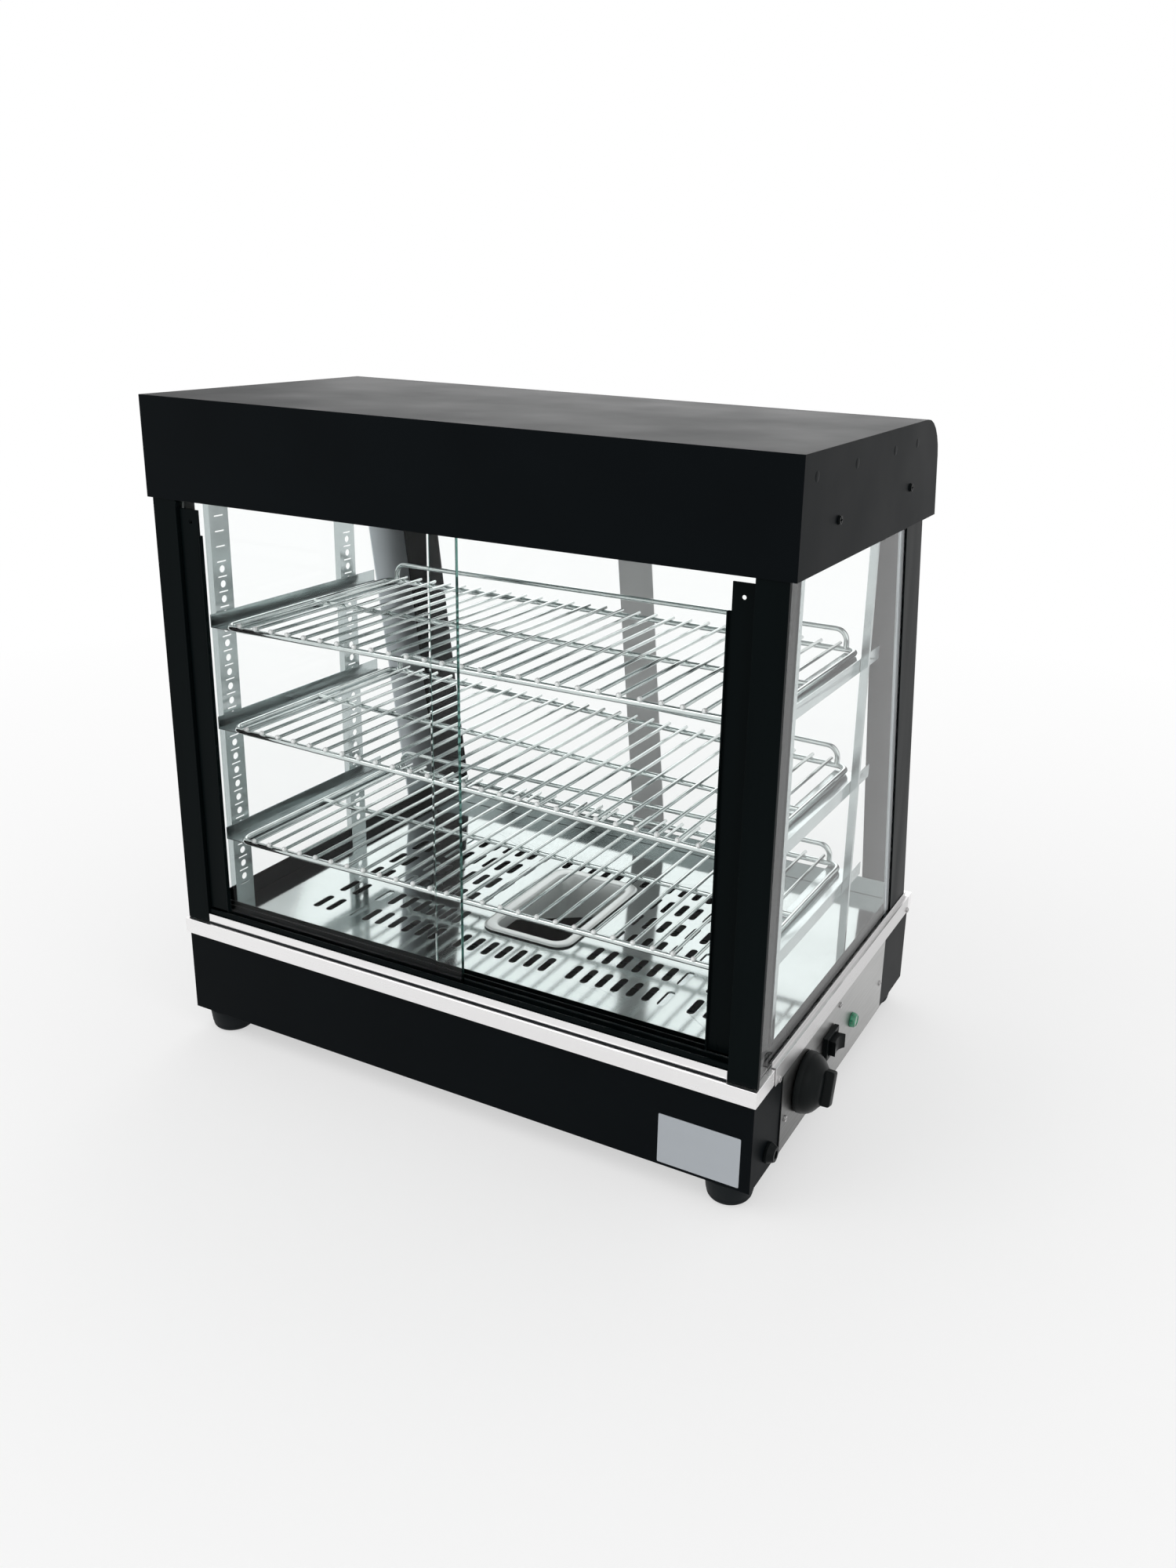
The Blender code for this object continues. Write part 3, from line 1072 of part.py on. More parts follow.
def make_rocker_switch():
    """Housing with a bezel and a pocket, and the key that rocks in it."""
    half_y = SWITCH_WIDTH / 2
    half_z = SWITCH_HEIGHT / 2
    front = PANEL_FACE + GAP
    bezel = box_between((front, front + SWITCH_BEZEL), (SWITCH_Y - half_y, SWITCH_Y + half_y),
                        (SWITCH_Z - half_z, SWITCH_Z + half_z))
    body_y = half_y - SWITCH_BODY_MARGIN
    body_z = half_z - SWITCH_BODY_MARGIN
    body = box_between((front - SWITCH_BODY_DEPTH, front + SWITCH_BEZEL / 2),
                       (SWITCH_Y - body_y, SWITCH_Y + body_y), (SWITCH_Z - body_z, SWITCH_Z + body_z))
    pocket_y = body_y - SWITCH_WALL
    pocket_z = body_z - SWITCH_WALL
    pocket = box_between((front - ROCKER_POCKET_DEPTH, front + CUT), (SWITCH_Y - pocket_y, SWITCH_Y + pocket_y),
                         (SWITCH_Z - pocket_z, SWITCH_Z + pocket_z))
    as_part("switch_housing", cut(join(bezel, body), pocket), BLACK_PLASTIC)

    axis = axis_empty("rocker_axis", (PANEL_FACE - ROCKER_AXLE_DEPTH, SWITCH_Y, SWITCH_Z))
    face = front + SWITCH_BEZEL
    key_z = pocket_z - ROCKER_CLEARANCE
    key_y = pocket_y - ROCKER_CLEARANCE
    back = PANEL_FACE - ROCKER_AXLE_DEPTH - ROCKER_DEPTH
    foot_y = key_y * ROCKER_FOOT_SHARE
    near_y = SWITCH_Y - key_y * ROCKER_NEAR_SHARE
    far_y = SWITCH_Y + key_y * ROCKER_FAR_SHARE
    outline = [(back, SWITCH_Y - foot_y), (face + ROCKER_NEAR_RAISE, near_y),
               (face + ROCKER_MIDDLE_RAISE, SWITCH_Y), (face + ROCKER_FAR_RAISE, far_y), (back, SWITCH_Y + foot_y)]
    key = prism([outline], "Z", SWITCH_Z - key_z, SWITCH_Z + key_z)
    as_part("rocker_key", key, BLACK_PLASTIC, axis)


def make_pilot_lamp():
    lens = [(0, PILOT_HEIGHT)]
    lens += [(PILOT_RADIUS * across, PILOT_HEIGHT * up) for across, up in PILOT_DOME_SHARES]
    lens += [(PILOT_RADIUS, GAP), (PILOT_STEM_RADIUS, GAP), (PILOT_STEM_RADIUS, -PILOT_STEM_DEPTH),
             (0, -PILOT_STEM_DEPTH)]
    as_part("pilot_lens", turned(lens, PILOT_SEGMENTS, (PANEL_FACE, PILOT_Y, PILOT_Z), "X"), GREEN_LENS)
    top = -PANEL_SHEET - GAP
    bottom = top - PILOT_BODY_DEPTH
    cup = PILOT_STEM_RADIUS + GAP
    cup_floor = -PILOT_STEM_DEPTH - GAP
    body = [(0, cup_floor), (cup, cup_floor), (cup, top), (PILOT_BODY_RADIUS, top), (PILOT_BODY_RADIUS, bottom),
            (0, bottom)]
    as_part("pilot_body", turned(body, PILOT_SEGMENTS, (PANEL_FACE, PILOT_Y, PILOT_Z), "X"), BLACK_PLASTIC)


def make_cable_gland():
    """Cable entry near the front corner of the control end, with its nut inside."""
    wall = -BASE_SHEET - GAP
    bore = GLAND_BORE_RADIUS
    nut_end = wall - GLAND_NUT_DEPTH
    profile = [(bore, GLAND_HEIGHT), (GLAND_TOP_RADIUS, GLAND_HEIGHT), (GLAND_RADIUS, GLAND_SHOULDER),
               (GLAND_RADIUS, GAP), (GLAND_STEM_RADIUS, GAP), (GLAND_STEM_RADIUS, wall),
               (GLAND_NUT_RADIUS, wall), (GLAND_NUT_RADIUS, nut_end), (GLAND_STEM_RADIUS, nut_end),
               (GLAND_STEM_RADIUS, -GLAND_STEM_DEPTH), (bore, -GLAND_STEM_DEPTH), (bore, GLAND_HEIGHT)]
    gland = turned(profile, GLAND_SEGMENTS, (BASE_HALF, GLAND_Y, GLAND_Z), "X")
    as_part("cable_gland", gland, BLACK_PLASTIC)


def make_heater():
    """A bent tube heater under the floor, round the pan, in two hangers."""
    z = FLOOR_TOP - HEATER_DROP
    left = -HALF_WIDTH + HEATER_SIDE_INSET
    right = HALF_WIDTH - HEATER_TAIL_INSET
    radius = HEATER_CORNER
    path = [(right, HEATER_FRONT)]
    path += arc((left + radius, HEATER_FRONT + radius), radius, 270, 180, HEATER_CORNER_STEPS)
    path += arc((left + radius, HEATER_BACK - radius), radius, 180, 90, HEATER_CORNER_STEPS)
    path += [(right, HEATER_BACK)]
    as_part("heating_element", tube([(x, y, z) for x, y in path], HEATER_RADIUS, 2), HEATER_STEEL)
    top = FLOOR_TOP - TRAY_SHEET - GAP
    reach = HEATER_RADIUS + GAP
    low = z - HEATER_RADIUS - GAP - HANGER_SHEET
    front_out = HEATER_FRONT - reach - HANGER_SHEET
    back_out = HEATER_BACK + reach + HANGER_SHEET
    front_hook = HEATER_FRONT + HANGER_HOOK
    back_hook = HEATER_BACK - HANGER_HOOK
    hook_top = low + HANGER_SHEET
    bar_under = top - HANGER_SHEET
    front_in = front_out + HANGER_SHEET
    back_in = back_out - HANGER_SHEET
    outline = [(front_out, low), (front_hook, low), (front_hook, hook_top), (front_in, hook_top),
               (front_in, bar_under), (back_in, bar_under), (back_in, hook_top), (back_hook, hook_top),
               (back_hook, low), (back_out, low), (back_out, top), (front_out, top)]
    for side, sign in sides():
        x = sign * HANGER_OFFSET
        hanger = prism([outline], "X", x - HANGER_WIDTH / 2, x + HANGER_WIDTH / 2)
        as_part(f"heater_hanger_{side}", hanger, STAINLESS)


def make_terminal_block():
    right = HALF_WIDTH - BLOCK_INSET
    floor = BASE_PLATE_Z + BASE_SHEET + GAP
    body = box_between((right - BLOCK_WIDTH, right), (BLOCK_Y, BLOCK_Y + BLOCK_LENGTH),
                       (floor, floor + BLOCK_HEIGHT))
    pitch = BLOCK_LENGTH / BLOCK_WAYS
    wells = []
    for index in range(BLOCK_WAYS):
        centre = (right - BLOCK_WIDTH / 2, BLOCK_Y + pitch * (index + 1 / 2))
        circle = arc(centre, BLOCK_SCREW_RADIUS, 0, 315, 7)
        wells.append(prism([circle], "Z", floor + BLOCK_HEIGHT - BLOCK_SCREW_DEPTH, floor + BLOCK_HEIGHT + CUT))
    as_part("terminal_block", cut(body, merged(wells)), CERAMIC)


def make_lamp():
    """A tube lamp under the ceiling panel, between the two sockets of its batten."""
    z = CEILING_UNDER - LAMP_DROP
    half = LAMP_LENGTH / 2
    lamp = turned([(0, half), (LAMP_RADIUS, half), (LAMP_RADIUS, -half), (0, -half)], LAMP_SEGMENTS,
                  (0, LAMP_Y, z), "X")
    as_part("lamp_tube", lamp, OPAL_GLASS)
    top = INSIDE_TOP
    width = (LAMP_Y - BATTEN_WIDTH / 2, LAMP_Y + BATTEN_WIDTH / 2)
    reach = half + GAP + SOCKET_LENGTH
    face = half + GAP
    low = top - SOCKET_HEIGHT
    batten = top - BATTEN_HEIGHT
    outline = [(-reach, low), (-face, low), (-face, batten), (face, batten), (face, low), (reach, low),
               (reach, top), (-reach, top)]
    as_part("lamp_holder", prism([outline], "Y", *width), CERAMIC)


def make_water_pan():
    """Round-cornered pan that hangs by its rim in the floor's cut-out and lifts straight up."""
    lift = axis_empty("water_pan_lift", (PUNCHING_OFFSET, PAN_CENTRE_Y, FLOOR_TOP + GAP))
    rim_under = FLOOR_TOP + GAP
    rim_top = rim_under + PAN_RIM_HEIGHT
    bottom = rim_top - PAN_DEPTH
    rim = prism([pan_outline(0)], "Z", rim_under, rim_top)
    wall = PAN_RIM + PAN_SHEET
    middle = rim_under + PAN_RIM_HEIGHT / 2
    well = tapered(pan_outline(PAN_RIM), pan_outline(PAN_RIM + PAN_TAPER), middle, bottom)
    hollow = tapered(pan_outline(wall), pan_outline(wall + PAN_TAPER), rim_top + CUT, bottom + PAN_SHEET)
    as_part("water_pan", cut(join(rim, well), hollow), MIRROR_STEEL, lift)


def tapered(top_outline, bottom_outline, top, bottom):
    """A solid between two like outlines at two heights."""
    bm = bmesh.new()
    rings = []
    for outline, height in ((bottom_outline, bottom), (top_outline, top)):
        rings.append([bm.verts.new((x, y, height)) for x, y in outline])
    loops = []
    for points in rings:
        loops += [bm.edges.new((points[index - 1], points[index])) for index in range(len(points))]
        bm.faces.new(points)
    bmesh.ops.bridge_loops(bm, edges=loops)
    bmesh.ops.recalc_face_normals(bm, faces=bm.faces)
    return mesh_from(bm)


def shade_round_parts():
    for part in PARTS.objects:
        if part.type == "MESH":
            part.data.shade_smooth()
            part.data.set_sharp_from_angle(angle=math.radians(35))


def main():
    make_feet()
    make_base_shell()
    make_base_bottom()
    make_floor_tray()
    make_chamber_surround()
    make_base_rim()
    make_side_sills()
    make_door_sill()
    make_front_posts()
    make_side_glass()
    make_customer_posts()
    make_glass_retainers()
    make_customer_glass()
    make_canopy()
    make_door_tracks()
    make_doors()
    make_shelf_strips()
    make_shelf_rails()
    make_wire_shelves()
    make_control_panel()
    make_thermostat()
    make_rocker_switch()
    make_pilot_lamp()
    make_cable_gland()
    make_heater()
    make_terminal_block()
    make_lamp()
    make_water_pan()
    shade_round_parts()


main()
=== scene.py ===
"""Looks of the heated display case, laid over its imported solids."""

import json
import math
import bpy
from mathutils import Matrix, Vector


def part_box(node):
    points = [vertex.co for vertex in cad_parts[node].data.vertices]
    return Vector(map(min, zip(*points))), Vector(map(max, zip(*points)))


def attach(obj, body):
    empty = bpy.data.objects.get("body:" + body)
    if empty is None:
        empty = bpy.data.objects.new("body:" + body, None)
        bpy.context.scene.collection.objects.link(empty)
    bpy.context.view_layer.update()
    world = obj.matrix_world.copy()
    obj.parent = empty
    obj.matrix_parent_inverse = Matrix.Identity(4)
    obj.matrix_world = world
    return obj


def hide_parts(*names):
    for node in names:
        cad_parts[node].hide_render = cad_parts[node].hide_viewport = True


bl_info = {
    "name": "Heated display case",
    "version": (1, 0, 0),
    "blender": (4, 5, 0),
    "location": "3D View > Sidebar > Display case",
    "description": "Builds the finishes and fine pieces of a counter-top heated display case",
    "category": "Add Mesh",
}

import bmesh
import bpy
from bpy.props import FloatProperty, FloatVectorProperty, IntProperty, PointerProperty
from mathutils import Matrix, Vector

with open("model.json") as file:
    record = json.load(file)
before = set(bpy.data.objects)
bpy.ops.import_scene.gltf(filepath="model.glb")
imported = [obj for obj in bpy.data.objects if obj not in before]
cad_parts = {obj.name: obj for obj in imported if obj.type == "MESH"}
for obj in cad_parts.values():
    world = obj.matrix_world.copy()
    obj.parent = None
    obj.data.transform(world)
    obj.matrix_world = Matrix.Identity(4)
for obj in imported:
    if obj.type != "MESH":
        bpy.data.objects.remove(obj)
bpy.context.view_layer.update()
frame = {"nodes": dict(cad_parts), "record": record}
NODES = frame["nodes"]

RIM_LOW, RIM_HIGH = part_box("base_rim")
ORIGIN = Vector(((RIM_LOW.x + RIM_HIGH.x) / 2, RIM_LOW.y, 0.0))    # trim's middle, at its front edge
MILLIMETRE = 0.001
SIDES = (("left", -1), ("right", 1))
SHELVES = ("top", "middle", "bottom")


def local_box(node):
    """A node's lowest and highest corner from the trim's middle front."""
    low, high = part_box(node)
    return low - ORIGIN, high - ORIGIN


def colour_of(name, default, description):
    return FloatVectorProperty(name=name, description=description, default=default, subtype="COLOR", size=3,
                               min=0.0, max=1.0)


def length_of(name, default, description):
    return FloatProperty(name=name, description=description, default=default, unit="LENGTH", precision=5)


class CaseColours(bpy.types.PropertyGroup):
    """Colours of the finishes."""
    black_coat: colour_of("Black coat", (0.0028, 0.0042, 0.0052), "Powder coat of the canopy and base")
    black_profile: colour_of("Black profile", (0.0022, 0.0042, 0.0046), "Posts, tracks and door pulls")
    trim_steel: colour_of("Trim steel", (0.93, 0.92, 0.92), "Brushed stainless trim round the base")
    panel_steel: colour_of("Panel steel", (0.42, 0.42, 0.415), "Brushed stainless control panel")
    chamber_steel: colour_of("Chamber steel", (0.50, 0.55, 0.55), "Bright stainless inside the chamber")
    floor_steel: colour_of("Floor steel", (0.42, 0.46, 0.455), "Mirror-bright plate of the floor tray")
    wire_chrome: colour_of("Wire chrome", (0.62, 0.67, 0.66), "Chromed shelf wire")
    bare_aluminium: colour_of("Bare aluminium", (0.62, 0.67, 0.70), "Inner strips behind the side glass")
    pane_tint: colour_of("Pane tint", (0.985, 0.994, 0.992), "Glass seen through its face")
    pane_edge: colour_of("Pane edge", (0.02, 0.075, 0.06), "Glass seen through its edge")
    strip_grey: colour_of("Strip grey", (0.60, 0.60, 0.60), "Pale strip on the customer glass")
    moulded_black: colour_of("Moulded black", (0.0040, 0.0056, 0.0058), "Knob, switch and lamp body")
    rubber_black: colour_of("Rubber black", (0.0070, 0.0095, 0.0110), "Feet")
    lens_green: colour_of("Lens green", (0.004, 0.30, 0.14), "Pilot lamp lens")
    floor_pale: colour_of("Floor", (0.92, 0.92, 0.92), "Floor under the case")


class CaseSizes(bpy.types.PropertyGroup):
    """Sizes of the fine pieces."""
    frame_rod: length_of("Shelf rod", 0.0060, "Diameter of a shelf's frame rods")
    cross_wire: length_of("Cross wire", 0.0036, "Diameter of a shelf's cross wires")
    wire_count: IntProperty(name="Cross wires", description="Cross wires in a shelf", default=27, min=2)
    upstand: length_of("Upstand", 0.020, "Height of the raised rod at a shelf's far edge")
    slot_length: length_of("Slot length", 0.030, "Floor slot, front to back")
    slot_width: length_of("Slot width", 0.0080, "Floor slot, side to side")
    hole: length_of("Strip hole", 0.0075, "Diameter of the shelf strips' holes")
    screw_head: length_of("Screw head", 0.0062, "Diameter of the case's screw heads")
    knob: length_of("Knob", 0.060, "Diameter of the thermostat knob")


def colours():
    return bpy.context.scene.case_colours


def sizes():
    return bpy.context.scene.case_sizes


# Materials

def link(tree, source, output, target, socket):
    tree.links.new(source.outputs[output], target.inputs[socket])


def new_material(name):
    material = bpy.data.materials.new(name)
    material.use_nodes = True
    return material, material.node_tree, material.node_tree.nodes["Principled BSDF"]


def object_noise(tree, scale, stretch=(1.0, 1.0, 1.0), detail=4.0):
    """Noise on Object coordinates, stretched along the grain."""
    place = tree.nodes.new("ShaderNodeTexCoord")
    mapping = tree.nodes.new("ShaderNodeMapping")
    mapping.inputs["Scale"].default_value = stretch
    noise = tree.nodes.new("ShaderNodeTexNoise")
    noise.inputs["Scale"].default_value = scale
    noise.inputs["Detail"].default_value = detail
    link(tree, place, "Object", mapping, "Vector")
    link(tree, mapping, "Vector", noise, "Vector")
    return noise


def ramp(tree, source, output, stops):
    """Colour ramp driven by a value."""
    node = tree.nodes.new("ShaderNodeValToRGB")
    elements = node.color_ramp.elements
    for element, (place, colour) in zip(elements, stops):
        element.position = place
        element.color = (*colour, 1.0)
    for place, colour in stops[2:]:
        element = elements.new(place)
        element.color = (*colour, 1.0)
    link(tree, source, output, node, "Fac")
    return node


def shade(colour, factor):
    return tuple(min(1.0, part * factor) for part in colour)


def map_range(tree, source, output, low, high, source_low=0.3, source_high=0.7):
    node = tree.nodes.new("ShaderNodeMapRange")
    for socket, value in (("From Min", source_low), ("From Max", source_high), ("To Min", low),
                          ("To Max", high)):
        node.inputs[socket].default_value = value
    link(tree, source, output, node, "Value")
    return node


def bump(tree, shader, source, output, strength, distance):
    node = tree.nodes.new("ShaderNodeBump")
    node.inputs["Strength"].default_value = strength
    node.inputs["Distance"].default_value = distance
    link(tree, source, output, node, "Height")
    link(tree, node, "Normal", shader, "Normal")


def textured(name, colour, spread, rough, scale, stretch=(1, 1, 1), metallic=0.0, specular=0.5,
             grain=None, grain_height=0.00002, coat=0.0):
    """A finish with colour and gloss that vary, and a fine grain on its surface."""
    material, tree, shader = new_material(name)
    shader.inputs["Metallic"].default_value = metallic
    shader.inputs["Specular IOR Level"].default_value = specular
    shader.inputs["Coat Weight"].default_value = coat
    clouds = object_noise(tree, scale, stretch)
    tint = ramp(tree, clouds, "Fac", ((0.3, shade(colour, 1 - spread)), (0.7, shade(colour, 1 + spread))))
    link(tree, tint, "Color", shader, "Base Color")
    gloss = map_range(tree, clouds, "Fac", rough[0], rough[1])
    link(tree, gloss, "Result", shader, "Roughness")
    if grain:
        fine = object_noise(tree, grain, stretch, 2.0)
        bump(tree, shader, fine, "Fac", 0.35, grain_height)
    return material


def make_finishes():
    """Every finish by its name."""
    c = colours()
    brush_x = (0.06, 1.0, 1.0)
    made = {
        "black_coat": textured("black_powder_coat", c.black_coat, 0.12, (0.38, 0.46), 9, specular=0.03,
                               grain=900, grain_height=0.00006),
        "black_profile": textured("black_profile", c.black_profile, 0.15, (0.26, 0.38), 30, (1, 1, 0.1),
                                  specular=0.03, grain=700, grain_height=0.00002),
        "trim": textured("trim_stainless", c.trim_steel, 0.02, (0.24, 0.32), 30, brush_x, 1.0, grain=900,
                         grain_height=0.000002),
        # Side sill steel: the trim steel darkened to 0.72, a shaded copy with painted shade on the case's
        # sides.
        "trim_side_shaded": textured("side_stainless_painted_shade", shade(c.trim_steel, 0.72), 0.05, (0.26, 0.36), 30,
                              (1.0, 0.06, 1.0), 1.0, grain=900, grain_height=0.000002),
        "panel": panel_steel(c),
        "chamber": textured("chamber_stainless", c.chamber_steel, 0.04, (0.12, 0.20), 25, (1, 1, 0.2), 1.0,
                            grain=300, grain_height=0.000004),
        "floor": textured("floor_stainless", c.floor_steel, 0.07, (0.05, 0.12), 9, (0.3, 1.0, 1.0), 1.0,
                          grain=250, grain_height=0.000006),
        "pan": textured("pan_stainless", (0.66, 0.69, 0.68), 0.05, (0.28, 0.38), 14, (1, 1, 1), 0.45,
                        grain=300, grain_height=0.000006),
        "galvanised": textured("galvanised_sheet", (0.70, 0.72, 0.73), 0.08, (0.4, 0.55), 35, metallic=0.2),
        "screw": textured("screw_steel", shade(c.trim_steel, 0.62), 0.06, (0.25, 0.35), 200, metallic=1.0),
        # Wire-end beads near-white and barely metallic: a painted highlight for the glint on the chrome wire
        # ends.
        "bead_painted_highlight": textured("wire_end_painted_highlight", (0.95, 0.96, 0.955), 0.03, (0.15, 0.25), 60, (1, 1, 1), 0.25),
        "chrome": textured("chrome_wire", c.wire_chrome, 0.10, (0.05, 0.16), 40, (1, 1, 1), 1.0,
                           grain=400, grain_height=0.00001),
        "aluminium": textured("bare_aluminium", c.bare_aluminium, 0.05, (0.32, 0.45), 20, (1, 1, 0.08), 0.7,
                              grain=500, grain_height=0.00001),
        "grey_strip": textured("pale_grey_strip", c.strip_grey, 0.03, (0.45, 0.6), 20),
        "moulded": textured("black_moulding", c.moulded_black, 0.12, (0.32, 0.45), 40, specular=0.10,
                            grain=1200, grain_height=0.00003),
        "rubber": textured("black_rubber", c.rubber_black, 0.15, (0.55, 0.7), 30, specular=0.12,
                           grain=900, grain_height=0.00004),
        "heater": textured("heater_sheath", (0.10, 0.09, 0.08), 0.35, (0.35, 0.6), 30, metallic=1.0, grain=600),
        "ceramic": textured("white_insulator", (0.72, 0.70, 0.64), 0.06, (0.4, 0.6), 60, grain=900),
        "opal": textured("opal_lamp_glass", (0.80, 0.81, 0.78), 0.02, (0.2, 0.3), 30),
        "plate": textured("bare_label", (0.44, 0.47, 0.50), 0.04, (0.3, 0.42), 15, (0.1, 1, 1), 0.6, grain=600),
        "lens": lens_green(c),
        "pane": pane_glass(c),
    }
    return made


def panel_steel(c):
    """Brushed control panel with painted shade: its colour darkens towards its lower front corner, standing in
    for the dark surroundings it reflects.
    """
    material, tree, shader = new_material("panel_stainless_painted_shade")
    shader.inputs["Metallic"].default_value = 1.0
    place = tree.nodes.new("ShaderNodeTexCoord")
    split = tree.nodes.new("ShaderNodeSeparateXYZ")
    link(tree, place, "Object", split, "Vector")
    # Painted shade: the colour ramp below darkens the panel by its position, towards its lower front corner.
    low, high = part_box("control_panel")
    across = map_range(tree, split, "Y", 0.0, 0.72, low.y, high.y)
    up = map_range(tree, split, "Z", 0.0, 0.28, low.z, high.z)
    painted_shade_level = tree.nodes.new("ShaderNodeMath")
    painted_shade_level.operation = "ADD"
    link(tree, across, "Result", painted_shade_level, 0)
    link(tree, up, "Result", painted_shade_level, 1)
    tint = ramp(tree, painted_shade_level, "Value", ((0.0, shade(c.panel_steel, 0.30)), (0.75, shade(c.panel_steel, 1.05)),
                                       (0.22, shade(c.panel_steel, 0.42)), (0.5, shade(c.panel_steel, 0.85))))
    link(tree, tint, "Color", shader, "Base Color")
    brush = object_noise(tree, 420, (1.0, 0.05, 1.0), 2.0)
    gloss = map_range(tree, brush, "Fac", 0.28, 0.38)
    link(tree, gloss, "Result", shader, "Roughness")
    bump(tree, shader, brush, "Fac", 0.3, 0.00002)
    return material


def lens_green(c):
    material, tree, shader = new_material("green_lens")
    shader.inputs["Transmission Weight"].default_value = 0.25
    shader.inputs["Coat Weight"].default_value = 0.6
    clouds = object_noise(tree, 300, detail=2.0)
    tint = ramp(tree, clouds, "Fac", ((0.35, shade(c.lens_green, 0.55)), (0.65, shade(c.lens_green, 1.2))))
    link(tree, tint, "Color", shader, "Base Color")
    gloss = map_range(tree, clouds, "Fac", 0.12, 0.22)
    link(tree, gloss, "Result", shader, "Roughness")
    return material


def pane_glass(c):
    """Float glass: clear through its faces, dark green through its edges, with faint smears."""
    material, tree, shader = new_material("float_glass")
    shader.inputs["Transmission Weight"].default_value = 1.0
    shader.inputs["IOR"].default_value = 1.16
    edge = tree.nodes.new("ShaderNodeAttribute")
    edge.attribute_name = "pane_edge"
    tint = ramp(tree, edge, "Fac", ((0.0, tuple(c.pane_tint)), (1.0, tuple(c.pane_edge))))
    link(tree, tint, "Color", shader, "Base Color")
    smears = object_noise(tree, 6, detail=3.0)
    gloss = map_range(tree, smears, "Fac", 0.0, 0.012, 0.55, 0.8)
    link(tree, gloss, "Result", shader, "Roughness")
    return material


SLOT_FINISH = {
    "black_powder_coat": "black_coat", "brushed_stainless": "chamber", "polished_stainless": "floor",
    "plain_aluminium": "aluminium", "chrome_wire": "chrome", "clear_glass": "pane",
    "black_anodised_profile": "black_profile", "black_rubber": "rubber", "black_plastic": "moulded",
    "green_lens": "lens", "heater_sheath": "heater", "white_ceramic": "ceramic",
    "pale_grey_strip": "grey_strip", "opal_lamp_glass": "opal",
}
NODE_FINISH = {"base_bottom": "galvanised"}
FINISHES = {}


# Mesh helpers

def add_block(bm, low, high, round_by=0.0, steps=2):
    """A box between two corners, with its edges rounded when asked."""
    low, high = Vector(low), Vector(high)
    placing = Matrix.Translation((low + high) / 2) @ Matrix.Diagonal((*(high - low), 1.0))
    verts = bmesh.ops.create_cube(bm, size=1.0, matrix=placing)["verts"]
    if round_by:
        edges = list({edge for vert in verts for edge in vert.link_edges})
        bmesh.ops.bevel(bm, geom=edges, offset=round_by, segments=steps, affect="EDGES", profile=0.5,
                        material=-1)


LIFTS = {"X": lambda a, b, c: (c, a, b), "Y": lambda a, b, c: (a, c, b), "Z": lambda a, b, c: (a, b, c)}
AXES = {"X": Vector((1, 0, 0)), "Y": Vector((0, 1, 0)), "Z": Vector((0, 0, 1))}


def add_prism(bm, outlines, axis, start, end):
    """Flat outlines, the later ones holes, filled and extruded along an axis."""
    edges = []
    for outline in outlines:
        ring = [bm.verts.new(LIFTS[axis](a, b, start)) for a, b in outline]
        edges += [bm.edges.new((ring[index - 1], ring[index])) for index in range(len(ring))]
    filled = bmesh.ops.triangle_fill(bm, use_beauty=True, edges=edges, normal=AXES[axis])
    faces = [item for item in filled["geom"] if isinstance(item, bmesh.types.BMFace)]
    grown = bmesh.ops.extrude_face_region(bm, geom=faces)["geom"]
    moved = [item for item in grown if isinstance(item, bmesh.types.BMVert)]
    bmesh.ops.translate(bm, verts=moved, vec=AXES[axis] * (end - start))


def arc(centre, radius, start, end, steps):
    points = []
    for step in range(steps + 1):
        angle = math.radians(start + (end - start) * step / steps)
        points.append((centre[0] + radius * math.cos(angle), centre[1] + radius * math.sin(angle)))
    return points


def circle(centre, radius, steps):
    return arc(centre, radius, 0, 360 - 360 / steps, steps - 1)


def rounded_rectangle(low, high, radius, steps):
    points = []
    corners = (((high[0] - radius, low[1] + radius), -90), ((high[0] - radius, high[1] - radius), 0),
               ((low[0] + radius, high[1] - radius), 90), ((low[0] + radius, low[1] + radius), 180))
    for centre, start in corners:
        points += arc(centre, radius, start, start + 90, steps)
    return points


def add_turned(bm, profile, steps, centre, axis):
    """Spin a profile of (radius, height) about an axis through a centre."""
    verts = [bm.verts.new((radius, 0.0, height)) for radius, height in profile]
    edges = [bm.edges.new(pair) for pair in zip(verts, verts[1:])]
    bmesh.ops.spin(bm, geom=verts + edges, angle=math.tau, steps=steps, axis=(0, 0, 1), cent=(0, 0, 0),
                   use_merge=True)
    everything = {vert for vert in verts if vert.is_valid}
    stack = list(everything)
    while stack:
        for edge in stack.pop().link_edges:
            for vert in edge.verts:
                if vert not in everything:
                    everything.add(vert)
                    stack.append(vert)
    bmesh.ops.remove_doubles(bm, verts=list(everything), dist=1e-6)
    everything = [vert for vert in everything if vert.is_valid]
    turn = {"X": Matrix.Rotation(math.pi / 2, 4, "Y"), "-Y": Matrix.Rotation(math.pi / 2, 4, "X"),
            "-X": Matrix.Rotation(-math.pi / 2, 4, "Y"), "Z": Matrix.Identity(4)}[axis]
    bmesh.ops.transform(bm, matrix=Matrix.Translation(centre) @ turn, verts=everything)


